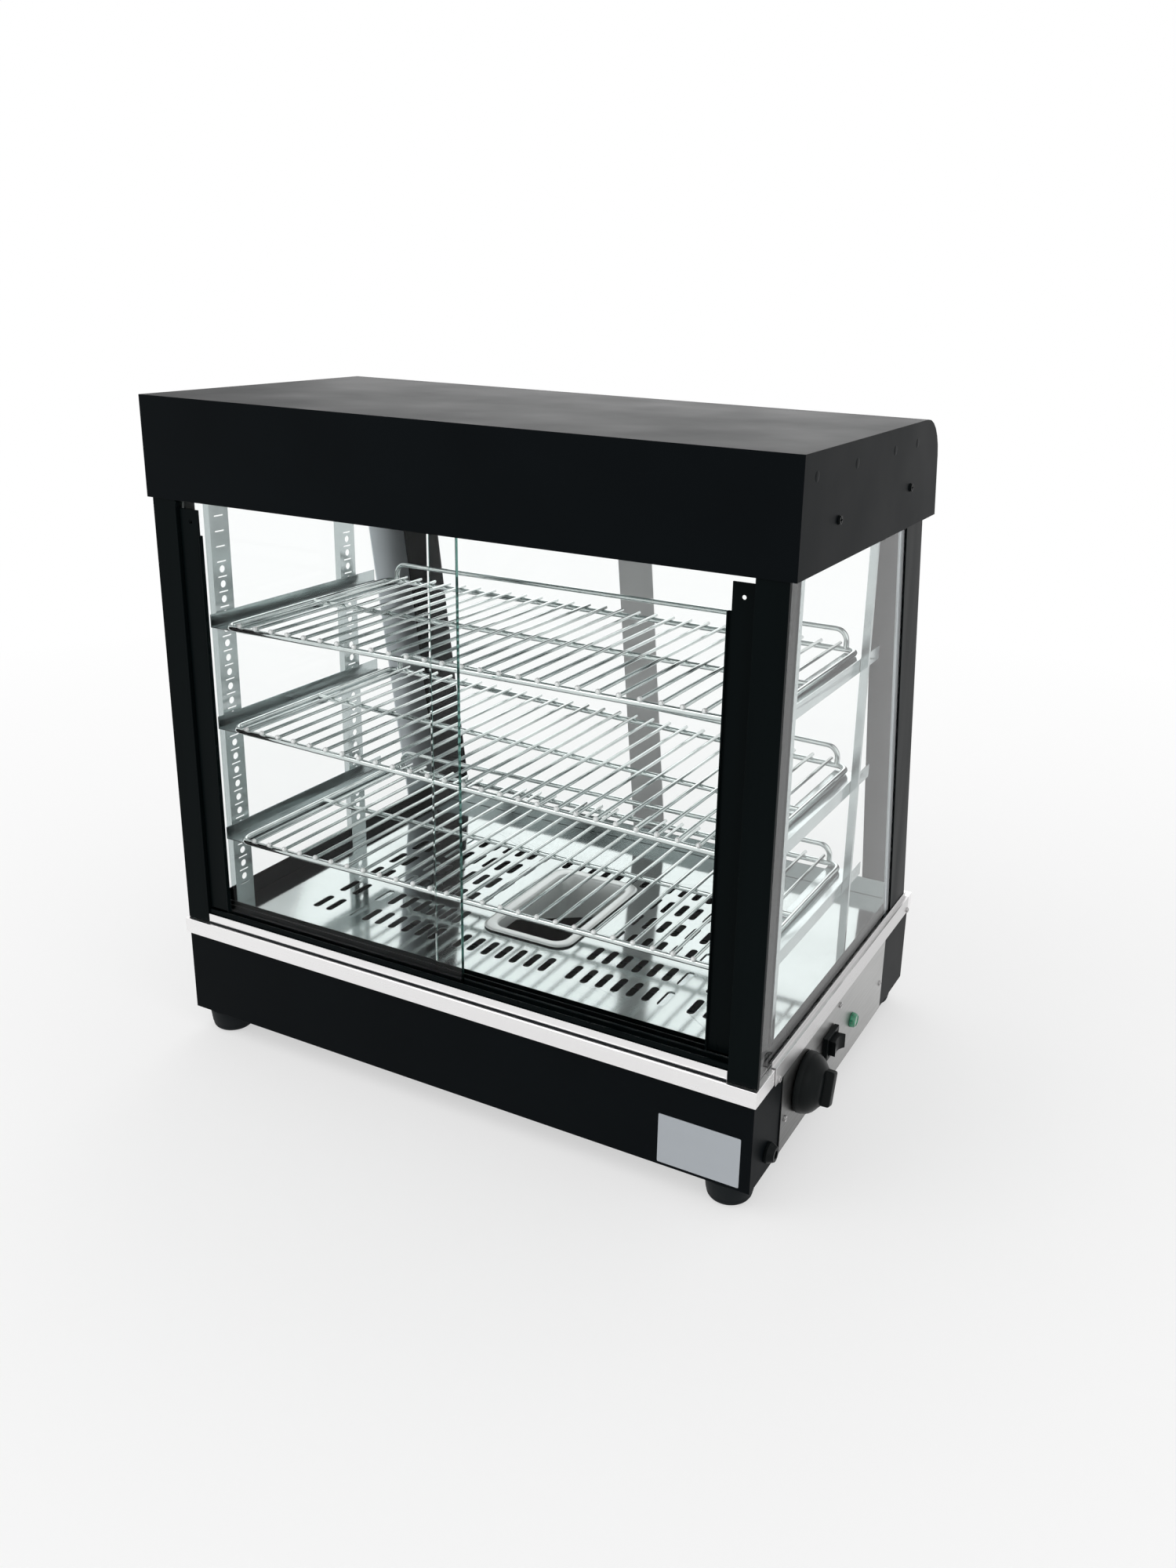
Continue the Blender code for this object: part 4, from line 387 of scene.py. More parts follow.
def add_rod(bm, path, radius, steps, up, closed=False):
    """Carry a circle along a path with extrusions; up is the normal of the path's plane."""
    path = [Vector(point) for point in path]
    up = Vector(up)
    count = len(path)

    def station(index):
        before = path[index - 1] if closed or index else path[0]
        after = path[(index + 1) % count] if closed or index < count - 1 else path[-1]
        along = (after - before).normalized()
        side = up.cross(along).normalized()
        matrix = Matrix((side, up, along)).transposed().to_4x4()
        return Matrix.Translation(path[index]) @ matrix

    last = station(0)
    verts = bmesh.ops.create_circle(bm, segments=steps, radius=radius, matrix=last)["verts"]
    first = edges = list({edge for vert in verts for edge in vert.link_edges})
    if not closed:
        bmesh.ops.contextual_create(bm, geom=edges)
    for index in range(1, count):
        grown = bmesh.ops.extrude_edge_only(bm, edges=edges)["geom"]
        verts = [item for item in grown if isinstance(item, bmesh.types.BMVert)]
        fresh = set(verts)
        edges = [item for item in grown if isinstance(item, bmesh.types.BMEdge) and set(item.verts) <= fresh]
        here = station(index)
        bmesh.ops.transform(bm, matrix=here @ last.inverted(), verts=verts)
        last = here
    if closed:
        bmesh.ops.bridge_loops(bm, edges=first + edges)
    else:
        bmesh.ops.contextual_create(bm, geom=edges)


def add_wire(bm, start, end, radius, steps=10):
    """A straight wire with rounded ends."""
    start, end = Vector(start), Vector(end)
    along = (end - start).normalized()
    placing = Matrix.Translation((start + end) / 2) @ along.to_track_quat("Z", "Y").to_matrix().to_4x4()
    made = bmesh.ops.create_cone(bm, cap_ends=True, segments=steps, radius1=radius, radius2=radius,
                                 depth=(end - start).length, matrix=placing)["verts"]
    caps = [face for face in {face for vert in made for face in vert.link_faces} if len(face.verts) > 4]
    rims = [edge for face in caps for edge in face.edges]
    bmesh.ops.bevel(bm, geom=rims, offset=radius * 0.7, segments=2, affect="EDGES", profile=0.5, material=-1)


def smooth(mesh, angle=35):
    mesh.shade_smooth()
    mesh.set_sharp_from_angle(angle=math.radians(angle))


def add_piece(name, bm, finish, body, replaces=(), angle=35, modifiers=(), place=ORIGIN, recalc=True):
    """Finish a bmesh as a piece that rides on a body."""
    if recalc:
        bmesh.ops.recalc_face_normals(bm, faces=bm.faces)
    bmesh.ops.translate(bm, verts=bm.verts, vec=place)
    mesh = bpy.data.meshes.new(name)
    bm.to_mesh(mesh)
    bm.free()
    smooth(mesh, angle)
    mesh.materials.append(FINISHES[finish])
    piece = bpy.data.objects.new(name, mesh)
    bpy.context.scene.collection.objects.link(piece)
    for kind, settings in modifiers:
        modifier = piece.modifiers.new(kind.title(), kind)
        for key, value in settings.items():
            setattr(modifier, key, value)
    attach(piece, body)
    if replaces:
        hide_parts(*replaces)
    return piece


def bevelled(width, segments=2):
    return (("BEVEL", {"width": width, "segments": segments, "limit_method": "ANGLE",
                       "angle_limit": math.radians(40), "harden_normals": True}),)


def body_of(node):
    return next(body for body, members in frame["record"]["behaviour"]["bodies"].items() if node in members)


def slot_of(node):
    return next(row["material_slot"] for row in frame["record"]["subparts"] if row["node"] == node)


def node_copy(node):
    """A merged copy of a CAD node's mesh."""
    bm = bmesh.new()
    bm.from_mesh(NODES[node].data)
    bmesh.ops.remove_doubles(bm, verts=bm.verts, dist=1e-5)
    bmesh.ops.dissolve_limit(bm, angle_limit=math.radians(0.5), verts=bm.verts, edges=bm.edges)
    return bm


def rounded_copy(node, name, finish, width, segments=2, angle=35):
    """The node's own form with its folded edges rounded."""
    return add_piece(name, node_copy(node), finish, body_of(node), (node,), angle,
                     bevelled(width, segments), Vector((0, 0, 0)), recalc=False)


def dress_nodes():
    for node, part in NODES.items():
        finish = FINISHES[NODE_FINISH.get(node, SLOT_FINISH[slot_of(node)])]
        part.data.materials.clear()
        part.data.materials.append(finish)


# Pieces

# The canopy's left wall stands in by this much, so that the heads on it stay within the solids' box.
LEFT_HEAD_ROOM = 0.5 * MILLIMETRE
WELD_DEPTHS = (0.031, 0.125, 0.228, 0.296)
WELD_HEIGHT = 0.656
ROD_INSET = 0.0028
WIRE_REACH = 0.0078
BEAD_RADIUS = 0.0026
STRIP_SHEET = 0.0008
HOLE_PITCH = 0.0155
TOP_HOLE = 0.4999
SLIT_HALF_LENGTH = 0.0065
SLIT_HALF_HEIGHT = 0.00075
SLOT_PITCH = 0.0172
GROUP_PITCH = 0.135
OUTER_GROUP = 0.270
ROW_PITCH = 0.0449
ROWS_FORWARD = 0.0054
PAN_OPENING_INSET = 0.0105
HEAD_HEIGHT_SHARE = 0.55
CANOPY_HEAD_SHARE = 1.25
PANEL_SCREWS = ((0.080, 0.059), (0.364, 0.062), (0.225, 0.105))
SILL_SCREWS = ((0.0515, 0.1183), (0.443, 0.1183))
CANOPY_SCREWS = ((0.089, 0.615), (0.285, 0.617))
GRIP_HALF_LENGTH = 0.0170
GRIP_HALF_WIDTH = 0.0056
GRIP_TURN = math.radians(-18)
PLATE_LOW = (0.235, 0.0285)
PLATE_HIGH = (0.316, 0.0795)
PLATE_CORNER = 0.0012


def make_canopy():
    cover = node_copy("canopy_shell")
    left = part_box("canopy_shell")[0].x
    on_left = [vert for vert in cover.verts if vert.co.x < left + 0.1 * MILLIMETRE]
    bmesh.ops.translate(cover, verts=on_left, vec=(LEFT_HEAD_ROOM, 0, 0))
    add_piece("canopy_cover", cover, "black_coat", "case", ("canopy_shell",), 35,
              bevelled(1.2 * MILLIMETRE, 3), Vector((0, 0, 0)), recalc=False)
    low, high = local_box("canopy_shell")
    for side, sign in SIDES:
        face = high.x if sign > 0 else low.x + LEFT_HEAD_ROOM
        bm = bmesh.new()
        for depth in WELD_DEPTHS:
            dome = [(0.0, 0.00035), (0.0025, 0.0003), (0.0042, 0.00012), (0.005, -0.0001)]
            add_turned(bm, dome, 24, (face, depth, WELD_HEIGHT), "X" if sign > 0 else "-X")
        add_piece(f"canopy_weld_marks_{side}", bm, "black_coat", "case")


def make_base():
    rounded_copy("base_shell", "base_cover", "black_coat", 1.0 * MILLIMETRE, 3)
    rounded_copy("base_rim", "base_trim", "trim", 0.6 * MILLIMETRE, 2)
    for side, _ in SIDES:
        # The side sills take the darkened copy of the trim steel, painted shade.
        rounded_copy(f"side_sill_{side}", f"side_sill_strip_{side}", "trim_side_shaded", 0.25 * MILLIMETRE, 2)
    rounded_copy("door_sill", "door_sill_strip", "trim", 0.25 * MILLIMETRE, 2)
    # A thin black rubber strip along the door sill's foot: a dark strip put in as painted shadow of the gap
    # under the sill.
    sill_low, sill_high = local_box("door_sill")
    bm = bmesh.new()
    add_block(bm, (sill_low.x, sill_low.y - 0.0012, sill_low.z), (sill_high.x, sill_low.y, sill_low.z + 0.0011),
              0.0003)
    add_piece("door_sill_shadow_strip", bm, "rubber", "case")
    rounded_copy("control_panel", "control_plate", "panel", 0.3 * MILLIMETRE, 2)
    surround = rounded_copy("chamber_surround", "chamber_edge", "black_profile", 0.3 * MILLIMETRE, 2)
    surround.data.materials.append(FINISHES["chamber"])
    steel_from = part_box("chamber_surround")[1].y - 0.022
    half_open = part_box("floor_tray")[1].x - ORIGIN.x
    for face in surround.data.polygons:
        on_customer_side = face.center.y > steel_from and abs(face.center.x - ORIGIN.x) < half_open
        face.material_index = 1 if on_customer_side else 0


def make_posts():
    for node in ("front_post_left", "front_post_right", "customer_post_left", "customer_post_right"):
        rounded_copy(node, node + "_profile", "black_profile", 0.4 * MILLIMETRE, 2)
    for side, _ in SIDES:
        rounded_copy(f"glass_retainer_{side}", f"glass_retainer_{side}_profile", "aluminium", 0.3 * MILLIMETRE)
    for end in ("bottom", "top"):
        rounded_copy(f"door_track_{end}", f"door_track_{end}_profile", "black_profile", 0.3 * MILLIMETRE)


def make_panes():
    """Glass panes with ground edges, marked so that the finish can darken them."""
    panes = {"side_glass_left": 0, "side_glass_right": 0, "customer_glass": 1, "door_glass_left": 1,
             "door_glass_right": 1}
    for node, thin_axis in panes.items():
        bm = node_copy(node)
        edges = [edge for edge in bm.edges if edge.calc_face_angle(0) > math.radians(40)]
        bmesh.ops.bevel(bm, geom=edges, offset=0.3 * MILLIMETRE, segments=1, affect="EDGES", profile=0.5,
                        material=-1)
        mark = bm.faces.layers.float.new("pane_edge")
        for face in bm.faces:
            face[mark] = 0.0 if abs(face.normal[thin_axis]) > 0.9 else 1.0
        piece = add_piece(node + "_pane", bm, "pane", body_of(node), (node,), 20,
                          place=Vector((0, 0, 0)), recalc=False)
        piece.data.shade_flat()


def make_doors():
    for side, _ in SIDES:
        node = f"door_handle_{side}"
        rounded_copy(node, node + "_pull", "black_profile", 0.4 * MILLIMETRE, 2)


def shelf_mesh(half, front, back, size):
    """One wire shelf with the middle of its rods at height zero."""
    bm = bmesh.new()
    rod = size.frame_rod / 2
    wire = size.cross_wire / 2
    corner = 0.012
    outline = rounded_rectangle((-half, front), (half, back), corner, 6)
    add_rod(bm, [(x, y, 0.0) for x, y in outline], rod, 12, (0, 0, 1), closed=True)
    middle = (front + back) / 2
    add_rod(bm, [(-half, middle, 0.0), (half, middle, 0.0)], rod * 0.9, 12, (0, 0, 1))
    reach = half - 0.012
    rise = size.upstand
    path = [(-reach, 0.0)] + arc((-reach + corner, rise - corner), corner, 180, 90, 6)
    path += arc((reach - corner, rise - corner), corner, 90, 0, 6) + [(reach, 0.0)]
    add_rod(bm, [(x, back, z) for x, z in path], rod * 0.92, 12, (0, 1, 0))
    pitch = 2 * half / (size.wire_count + 1)
    height = rod + wire * 0.55
    for index in range(size.wire_count):
        x = (index - (size.wire_count - 1) / 2) * pitch
        add_wire(bm, (x, front - rod - 0.0009, height), (x, back + WIRE_REACH, height), wire)
    return bm


def make_shelves():
    size = sizes()
    for name in SHELVES:
        node = f"wire_shelf_{name}"
        low, high = local_box(node)
        half = (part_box("wire_shelf_top")[1].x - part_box("wire_shelf_top")[0].x) / 2 - ROD_INSET
        front = low.y + ROD_INSET
        back = high.y - WIRE_REACH
        ledges = [local_box(f"shelf_rail_{name}_{side}")[0].z + 0.001 for side, _ in SIDES]
        rod = size.frame_rod / 2
        tilt = math.atan2(ledges[0] - ledges[1], 2 * half)
        lift = 0.0006 if abs(tilt) > 0.001 else 0.0
        bm = shelf_mesh(half, front, back, size)
        place = Matrix.Translation((0, 0, sum(ledges) / 2 + rod + 0.0003 + lift))
        placing = place @ Matrix.Rotation(tilt, 4, "Y")
        bmesh.ops.transform(bm, matrix=placing, verts=bm.verts)
        add_piece(f"{name}_wire_shelf", bm, "chrome", "case", (node,), 50)
        # Beads at the wires' front ends, finished near-white as a painted highlight.
        bm = bmesh.new()
        pitch = 2 * half / (size.wire_count + 1)
        height = rod + size.cross_wire / 2 * 0.75
        for index in range(size.wire_count):
            x = (index - (size.wire_count - 1) / 2) * pitch
            spot = Matrix.Translation((x, front - rod * 0.55, height))
            bmesh.ops.create_icosphere(bm, subdivisions=2, radius=BEAD_RADIUS, matrix=spot)
        bmesh.ops.transform(bm, matrix=placing, verts=bm.verts)
        add_piece(f"{name}_wire_ends", bm, "bead_painted_highlight", "case", (), 80)
        for side, _ in SIDES:
            rail = f"shelf_rail_{name}_{side}"
            rounded_copy(rail, rail + "_angle", "chamber", 0.25 * MILLIMETRE)


def make_shelf_strips():
    """Perforated strips with round peg holes and narrow slits between them."""
    size = sizes()
    for end in ("front", "back"):
        for side, sign in SIDES:
            node = f"shelf_strip_{end}_{side}"
            low, high = local_box(node)
            middle = (low.y + high.y) / 2
            holes = []
            for index in range(-5, 23):
                height = TOP_HOLE - index * HOLE_PITCH
                if index >= 0:
                    holes.append(circle((middle, height), size.hole / 2, 20))
                slit = height - HOLE_PITCH / 2
                holes.append(rounded_rectangle((middle - SLIT_HALF_LENGTH, slit - SLIT_HALF_HEIGHT),
                                               (middle + SLIT_HALF_LENGTH, slit + SLIT_HALF_HEIGHT), 0.0007, 2))
            bm = bmesh.new()
            face = low.x if sign > 0 else high.x - STRIP_SHEET
            inner = low.y + STRIP_SHEET
            outline = [(inner, low.z), (high.y, low.z), (high.y, high.z), (inner, high.z)]
            add_prism(bm, [outline] + holes, "X", face, face + STRIP_SHEET)
            add_block(bm, (low.x, low.y, low.z), (high.x, inner, high.z))
            add_piece(f"{end}_shelf_strip_{side}", bm, "chamber", "case", (node,), 30,
                      bevelled(0.15 * MILLIMETRE, 1))


def slot_columns():
    half_group = 3 * SLOT_PITCH
    columns = [group * GROUP_PITCH - half_group + index * SLOT_PITCH for group in (-1, 0, 1)
               for index in range(7)]
    for index in range(2):
        edge = OUTER_GROUP - half_group + index * SLOT_PITCH
        columns += [-edge, edge]
    return columns


def make_floor():
    """Floor tray with round-ended slots and the pan's cut-out."""
    size = sizes()
    low, high = local_box("floor_tray")
    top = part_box("floor_tray")[0].z + 0.001
    pan_low, pan_high = local_box("water_pan")
    inner = 0.0085
    floor_low = (low.x + inner, low.y + inner)
    floor_high = (high.x - inner, high.y - inner)
    outline = rounded_rectangle(floor_low, floor_high, 0.002, 3)
    half_length, half_width = size.slot_length / 2, size.slot_width / 2
    holes = []
    middle_y = (RIM_HIGH.y - RIM_LOW.y) / 2 - ROWS_FORWARD
    for row in range(6):
        y = middle_y + (row - 2.5) * ROW_PITCH
        for x in slot_columns():
            if x - half_width < pan_high.x and x + half_width > pan_low.x and \
                    y - half_length < pan_high.y and y + half_length > pan_low.y:
                continue
            holes.append(rounded_rectangle((x - half_width, y - half_length), (x + half_width, y + half_length),
                                           half_width * 0.98, 5))
    inset = PAN_OPENING_INSET
    holes.append(rounded_rectangle((pan_low.x + inset, pan_low.y + inset),
                                   (pan_high.x - inset, pan_high.y - inset), 0.006, 4))
    bm = bmesh.new()
    add_prism(bm, [outline] + holes, "Z", top - 0.001, top)
    wall = [outline, rounded_rectangle([edge + 0.001 for edge in floor_low],
                                       [edge - 0.001 for edge in floor_high], 0.0015, 3)]
    add_prism(bm, wall, "Z", top, high.z)
    flange = [rounded_rectangle((low.x, low.y), (high.x, high.y), 0.002, 3), outline]
    add_prism(bm, flange, "Z", high.z - 0.001, high.z)
    add_piece("slotted_floor", bm, "floor", "case", ("floor_tray",), 30,
              bevelled(0.2 * MILLIMETRE, 1))


def make_water_pan():
    """Round-cornered pan with a rolled rim, drawn from nested outlines."""
    low, high = local_box("water_pan")
    levels = [(0.0006, low.z + 0.0585), (0.0, low.z + 0.0592), (0.0006, low.z + 0.0600),
              (0.003, low.z + 0.0603),
              (0.0095, low.z + 0.0600), (0.0112, low.z + 0.0594), (0.0122, low.z + 0.0575),
              (0.0140, low.z + 0.030), (0.0165, low.z + 0.006), (0.0185, low.z + 0.0022),
              (0.024, low.z + 0.0008)]
    bm = bmesh.new()
    rings = []
    for shrink, height in levels:
        outline = rounded_rectangle((low.x + shrink, low.y + shrink), (high.x - shrink, high.y - shrink),
                                    max(0.018 - shrink * 0.35, 0.004), 6)
        verts = [bm.verts.new((x, y, height)) for x, y in outline]
        rings.append([bm.edges.new((verts[index - 1], verts[index])) for index in range(len(verts))])
    for outer, inner in zip(rings, rings[1:]):
        bmesh.ops.bridge_loops(bm, edges=outer + inner)
    bmesh.ops.contextual_create(bm, geom=rings[-1])
    bmesh.ops.recalc_face_normals(bm, faces=bm.faces)
    if next(face for face in bm.faces if len(face.verts) > 8).normal.z < 0:
        bmesh.ops.reverse_faces(bm, faces=bm.faces)
    solid = (("SOLIDIFY", {"thickness": 0.0009, "offset": -1.0}),)
    add_piece("gastro_pan", bm, "pan", "water_pan", ("water_pan",), 60, solid,
              recalc=False)


def add_screw(bm, centre, axis, radius):
    """A pan-head screw with a cross recess."""
    centre = Vector(centre)
    height = radius * HEAD_HEIGHT_SHARE
    way = {"X": 1, "-X": -1, "-Y": -1, "Z": 1}[axis]
    letter = axis[-1]
    a, b = {"X": (centre.y, centre.z), "Y": (centre.x, centre.z), "Z": (centre.x, centre.y)}[letter]
    along = {"X": centre.x, "Y": centre.y, "Z": centre.z}[letter]
    head = circle((a, b), radius, 20)
    wide, narrow = radius * 0.62, radius * 0.17
    cross = [(wide, narrow), (narrow, narrow), (narrow, wide), (-narrow, wide), (-narrow, narrow),
             (-wide, narrow),
             (-wide, -narrow), (-narrow, -narrow), (-narrow, -wide), (narrow, -wide), (narrow, -narrow),
             (wide, -narrow)]
    cross = [(a + x, b + y) for x, y in cross]
    add_prism(bm, [head], letter, along, along + way * height * 0.45)
    add_prism(bm, [circle((a, b), radius * 0.93, 20), cross], letter, along + way * height * 0.45,
              along + way * height)


def make_fasteners():
    size = sizes()
    radius = size.screw_head / 2
    panel_x = local_box("control_panel")[1].x
    groups = {"panel_screws": ("screw", [((panel_x, y, z), "X") for y, z in PANEL_SCREWS])}
    sill = local_box("side_sill_right")[1].x
    for side, sign in SIDES:
        axis = "X" if sign > 0 else "-X"
        groups[f"sill_screws_{side}"] = ("screw", [((sign * sill, y, z), axis) for y, z in SILL_SCREWS])
        low, high = local_box("canopy_shell")
        cap = high.x if sign > 0 else low.x + radius * CANOPY_HEAD_SHARE * HEAD_HEIGHT_SHARE
        groups[f"canopy_screws_{side}"] = ("moulded", [((cap, y, z), axis) for y, z in CANOPY_SCREWS])
    for name, (finish, places) in groups.items():
        bm = bmesh.new()
        for place, axis in places:
            add_screw(bm, place, axis, radius * (CANOPY_HEAD_SHARE if finish == "moulded" else 1.0))
        add_piece(name, bm, finish, "case", (), 30, bevelled(0.25 * MILLIMETRE, 2))


def make_feet():
    for end in ("front", "back"):
        for side, _ in SIDES:
            node = f"foot_{end}_{side}"
            low, high = local_box(node)
            centre = ((low.x + high.x) / 2, (low.y + high.y) / 2, 0.0)
            top = (high.x - low.x) / 2
            foot = top - 0.003
            profile = [(0.0, high.z), (top - 0.0008, high.z), (top, high.z - 0.0008), (foot + 0.0012, 0.009)]
            profile += arc((foot - 0.006, 0.0065), 0.0065, 8, -90, 6)
            profile += [(0.0042, 0.0), (0.0036, 0.0006), (0.0036, 0.016), (0.0, 0.016)]
            bm = bmesh.new()
            add_turned(bm, profile, 48, centre, "Z")
            add_piece(f"rubber_foot_{end}_{side}", bm, "rubber", "case", (node,), 40)


def make_knob():
    """Round-shouldered dial with a grip that leans at rest."""
    low, high = local_box("thermostat_knob")
    y, z = (low.y + high.y) / 2, (low.z + high.z) / 2
    radius = sizes().knob / 2
    height = high.x - low.x
    profile = [(0.0, 0.0), (radius - 0.0005, 0.0), (radius, 0.0005), (radius, 0.0050),
               (radius - 0.0004, 0.0055),
               (radius - 0.0006, 0.0068), (radius - 0.0011, 0.0090), (radius - 0.0022, 0.0113),
               (radius - 0.0040, 0.0138), (radius - 0.0060, 0.0157), (radius - 0.0080, 0.0173),
               (radius - 0.0100, 0.0190), (radius - 0.0118, 0.0205), (radius - 0.0135, 0.0214), (0.0, 0.0222)]
    bm = bmesh.new()
    add_turned(bm, profile, 72, (0.0, 0.0, 0.0), "X")
    half, width = GRIP_HALF_LENGTH, GRIP_HALF_WIDTH
    grip = [(0.004, -half - 0.0006), (height - 0.0012, -half), (height, -half + 0.0014),
            (height, half - 0.0014),
            (height - 0.0012, half), (0.004, half + 0.0006)]
    grip_bm = bmesh.new()
    add_prism(grip_bm, [grip], "Y", -width, width)
    edges = [edge for edge in grip_bm.edges if edge.calc_face_angle(0) > 0.3]
    bmesh.ops.bevel(grip_bm, geom=edges, offset=0.0012, segments=3, affect="EDGES", profile=0.5, material=-1)
    grip_bm.transform(Matrix.Rotation(GRIP_TURN, 4, "X"))
    mesh = bpy.data.meshes.new("grip")
    grip_bm.to_mesh(mesh)
    grip_bm.free()
    bm.from_mesh(mesh)
    bpy.data.meshes.remove(mesh)
    bmesh.ops.translate(bm, verts=bm.verts, vec=(low.x, y, z))
    add_piece("thermostat_dial", bm, "moulded", "thermostat_knob", ("thermostat_knob",), 40)


def make_rocker():
    """Key with a dished face, raised at both ends."""
    low, high = local_box("rocker_key")
    y = (low.y + high.y) / 2
    half = (high.y - low.y) / 2
    near, dish, far = high.x - 0.0026, high.x - 0.0046, high.x
    face = []
    for step in range(13):
        along = -1 + 2 * step / 12
        rise = dish + (far - dish) * max(along, 0) ** 2 + (near - dish) * max(-along, 0) ** 2
        face.append((rise, y + half * 0.98 * along))
    outline = [(low.x, y - half * 0.86)] + face + [(low.x, y + half * 0.86)]
    bm = bmesh.new()
    add_prism(bm, [outline], "Z", low.z, high.z)
    add_piece("rocker_cap", bm, "moulded", "rocker_key", ("rocker_key",), 30,
              bevelled(0.6 * MILLIMETRE, 3))


def make_controls():
    make_knob()
    rounded_copy("switch_housing", "switch_frame", "moulded", 0.5 * MILLIMETRE, 3)
    make_rocker()
    low, high = local_box("pilot_lens")
    centre = (local_box("control_panel")[1].x, (low.y + high.y) / 2, (low.z + high.z) / 2)
    bm = bmesh.new()
    profile = [(0.0, 0.0052), (0.0054, 0.0050), (0.0060, 0.0056), (0.0068, 0.0054), (0.0074, 0.0046),
               (0.0080, 0.0014), (0.0080, 0.0003), (0.0055, 0.0003), (0.0055, -0.004), (0.0, -0.004)]
    add_turned(bm, profile, 40, centre, "X")
    add_piece("pilot_lamp_lens", bm, "lens", "case", ("pilot_lens",), 40)
    rounded_copy("cable_gland", "cable_gland_nut", "moulded", 0.3 * MILLIMETRE, 2)


def make_rating_plate():
    """Bare plate on the base's front."""
    front = local_box("base_shell")[0].y
    bm = bmesh.new()
    outline = rounded_rectangle(PLATE_LOW, PLATE_HIGH, PLATE_CORNER, 3)
    add_prism(bm, [outline], "Y", front - 0.0004, front - 0.00005)
    add_piece("bare_rating_plate", bm, "plate", "case", (), 30)


# Stage

CAMERA_AZIMUTH = math.radians(26.55)
CAMERA_ELEVATION = math.radians(18.85)
CAMERA_ROLL = math.radians(1.78)
CAMERA_PLACE = (0.68047, -0.94059, 0.79898)    # from the trim's middle front
CAMERA_LENS = 31.018
CAMERA_SHIFT = (-0.03607, -0.03344)
LAMPS = (("key", (-0.9, -1.3, 2.0), 1.6, 9.0), ("fill", (1.8, -0.8, 1.3), 1.8, 4.0),
         ("back", (-0.8, 1.9, 1.3), 1.8, 7.0))
LAMP_AIM = (0.0, 0.22, 0.33)


def make_camera():
    camera = bpy.data.cameras.new("camera")
    camera.sensor_width = 36.0
    camera.lens = CAMERA_LENS
    camera.shift_x, camera.shift_y = CAMERA_SHIFT
    camera.clip_start = 0.05
    holder = bpy.data.objects.new("camera", camera)
    azimuth, elevation = CAMERA_AZIMUTH, CAMERA_ELEVATION
    back = Vector((math.sin(azimuth) * math.cos(elevation), -math.cos(azimuth) * math.cos(elevation),
                   math.sin(elevation)))
    right = Vector((0, 0, 1)).cross(back).normalized()
    up = back.cross(right)
    look = Matrix((right, up, back)).transposed() @ Matrix.Rotation(CAMERA_ROLL, 3, "Z")
    holder.matrix_world = Matrix.Translation(ORIGIN + Vector(CAMERA_PLACE)) @ look.to_4x4()
    bpy.context.scene.collection.objects.link(holder)
    bpy.context.scene.camera = holder


def make_lights():
    aim = ORIGIN + Vector(LAMP_AIM)
    for name, place, size, power in LAMPS:
        light = bpy.data.lights.new(name, "AREA")
        light.shape = "DISK"
        light.size = size
        light.energy = power
        holder = bpy.data.objects.new(name, light)
        position = ORIGIN + Vector(place)
        turn = (position - aim).to_track_quat("Z", "Y").to_matrix().to_4x4()
        holder.matrix_world = Matrix.Translation(position) @ turn
        bpy.context.scene.collection.objects.link(holder)


def make_world():
    world = bpy.data.worlds.new("studio")
    world.use_nodes = True
    tree = world.node_tree
    background = tree.nodes["Background"]
    background.inputs["Color"].default_value = (1.0, 1.0, 1.0, 1.0)
    path = tree.nodes.new("ShaderNodeLightPath")
    seen = tree.nodes.new("ShaderNodeMath")
    seen.operation = "MAXIMUM"
    link(tree, path, "Is Camera Ray", seen, 0)
    link(tree, path, "Is Transmission Ray", seen, 1)
    mirrored = tree.nodes.new("ShaderNodeMath")
    mirrored.operation = "MAXIMUM"
    link(tree, seen, "Value", mirrored, 0)
    link(tree, path, "Is Glossy Ray", mirrored, 1)
    level = tree.nodes.new("ShaderNodeMapRange")
    level.inputs["To Min"].default_value = 0.75
    level.inputs["To Max"].default_value = 1.0
    link(tree, mirrored, "Value", level, "Value")
    link(tree, level, "Result", background, "Strength")
    bpy.context.scene.world = world


def floor_material():
    """Pale floor that keeps the case's shadow and fades to white with distance."""
    material, tree, shader = new_material("stage_floor")
    shader.inputs["Roughness"].default_value = 0.9
    shader.inputs["Specular IOR Level"].default_value = 0.1
    shader.inputs["Base Color"].default_value = (*colours().floor_pale, 1.0)
    path = tree.nodes.new("ShaderNodeLightPath")
    seen = None
    for ray in ("Is Camera Ray", "Is Transmission Ray", "Is Glossy Ray"):
        if seen is None:
            seen, output = path, ray
            continue
        both = tree.nodes.new("ShaderNodeMath")
        both.operation = "MAXIMUM"
        link(tree, seen, output, both, 0)
        link(tree, path, ray, both, 1)
        seen, output = both, "Value"
    place = tree.nodes.new("ShaderNodeTexCoord")
    reach = tree.nodes.new("ShaderNodeVectorMath")
    reach.operation = "LENGTH"
    link(tree, place, "Object", reach, 0)
    fade = map_range(tree, reach, "Value", 0.55, 1.0, 0.5, 1.9)
    share = tree.nodes.new("ShaderNodeMath")
    share.operation = "MULTIPLY"
    link(tree, fade, "Result", share, 0)
    link(tree, seen, output, share, 1)
    glow = tree.nodes.new("ShaderNodeEmission")
    mix = tree.nodes.new("ShaderNodeMixShader")
    link(tree, share, "Value", mix, 0)
    link(tree, shader, "BSDF", mix, 1)
    link(tree, glow, "Emission", mix, 2)
    link(tree, mix, "Shader", tree.nodes["Material Output"], "Surface")
    return material


def make_floor_plane():
    bm = bmesh.new()
    bmesh.ops.create_grid(bm, x_segments=1, y_segments=1, size=6.0)
    mesh = bpy.data.meshes.new("stage_floor")
    bm.to_mesh(mesh)
    bm.free()
    mesh.materials.append(floor_material())
    floor = bpy.data.objects.new("stage_floor", mesh)
    bpy.context.scene.collection.objects.link(floor)


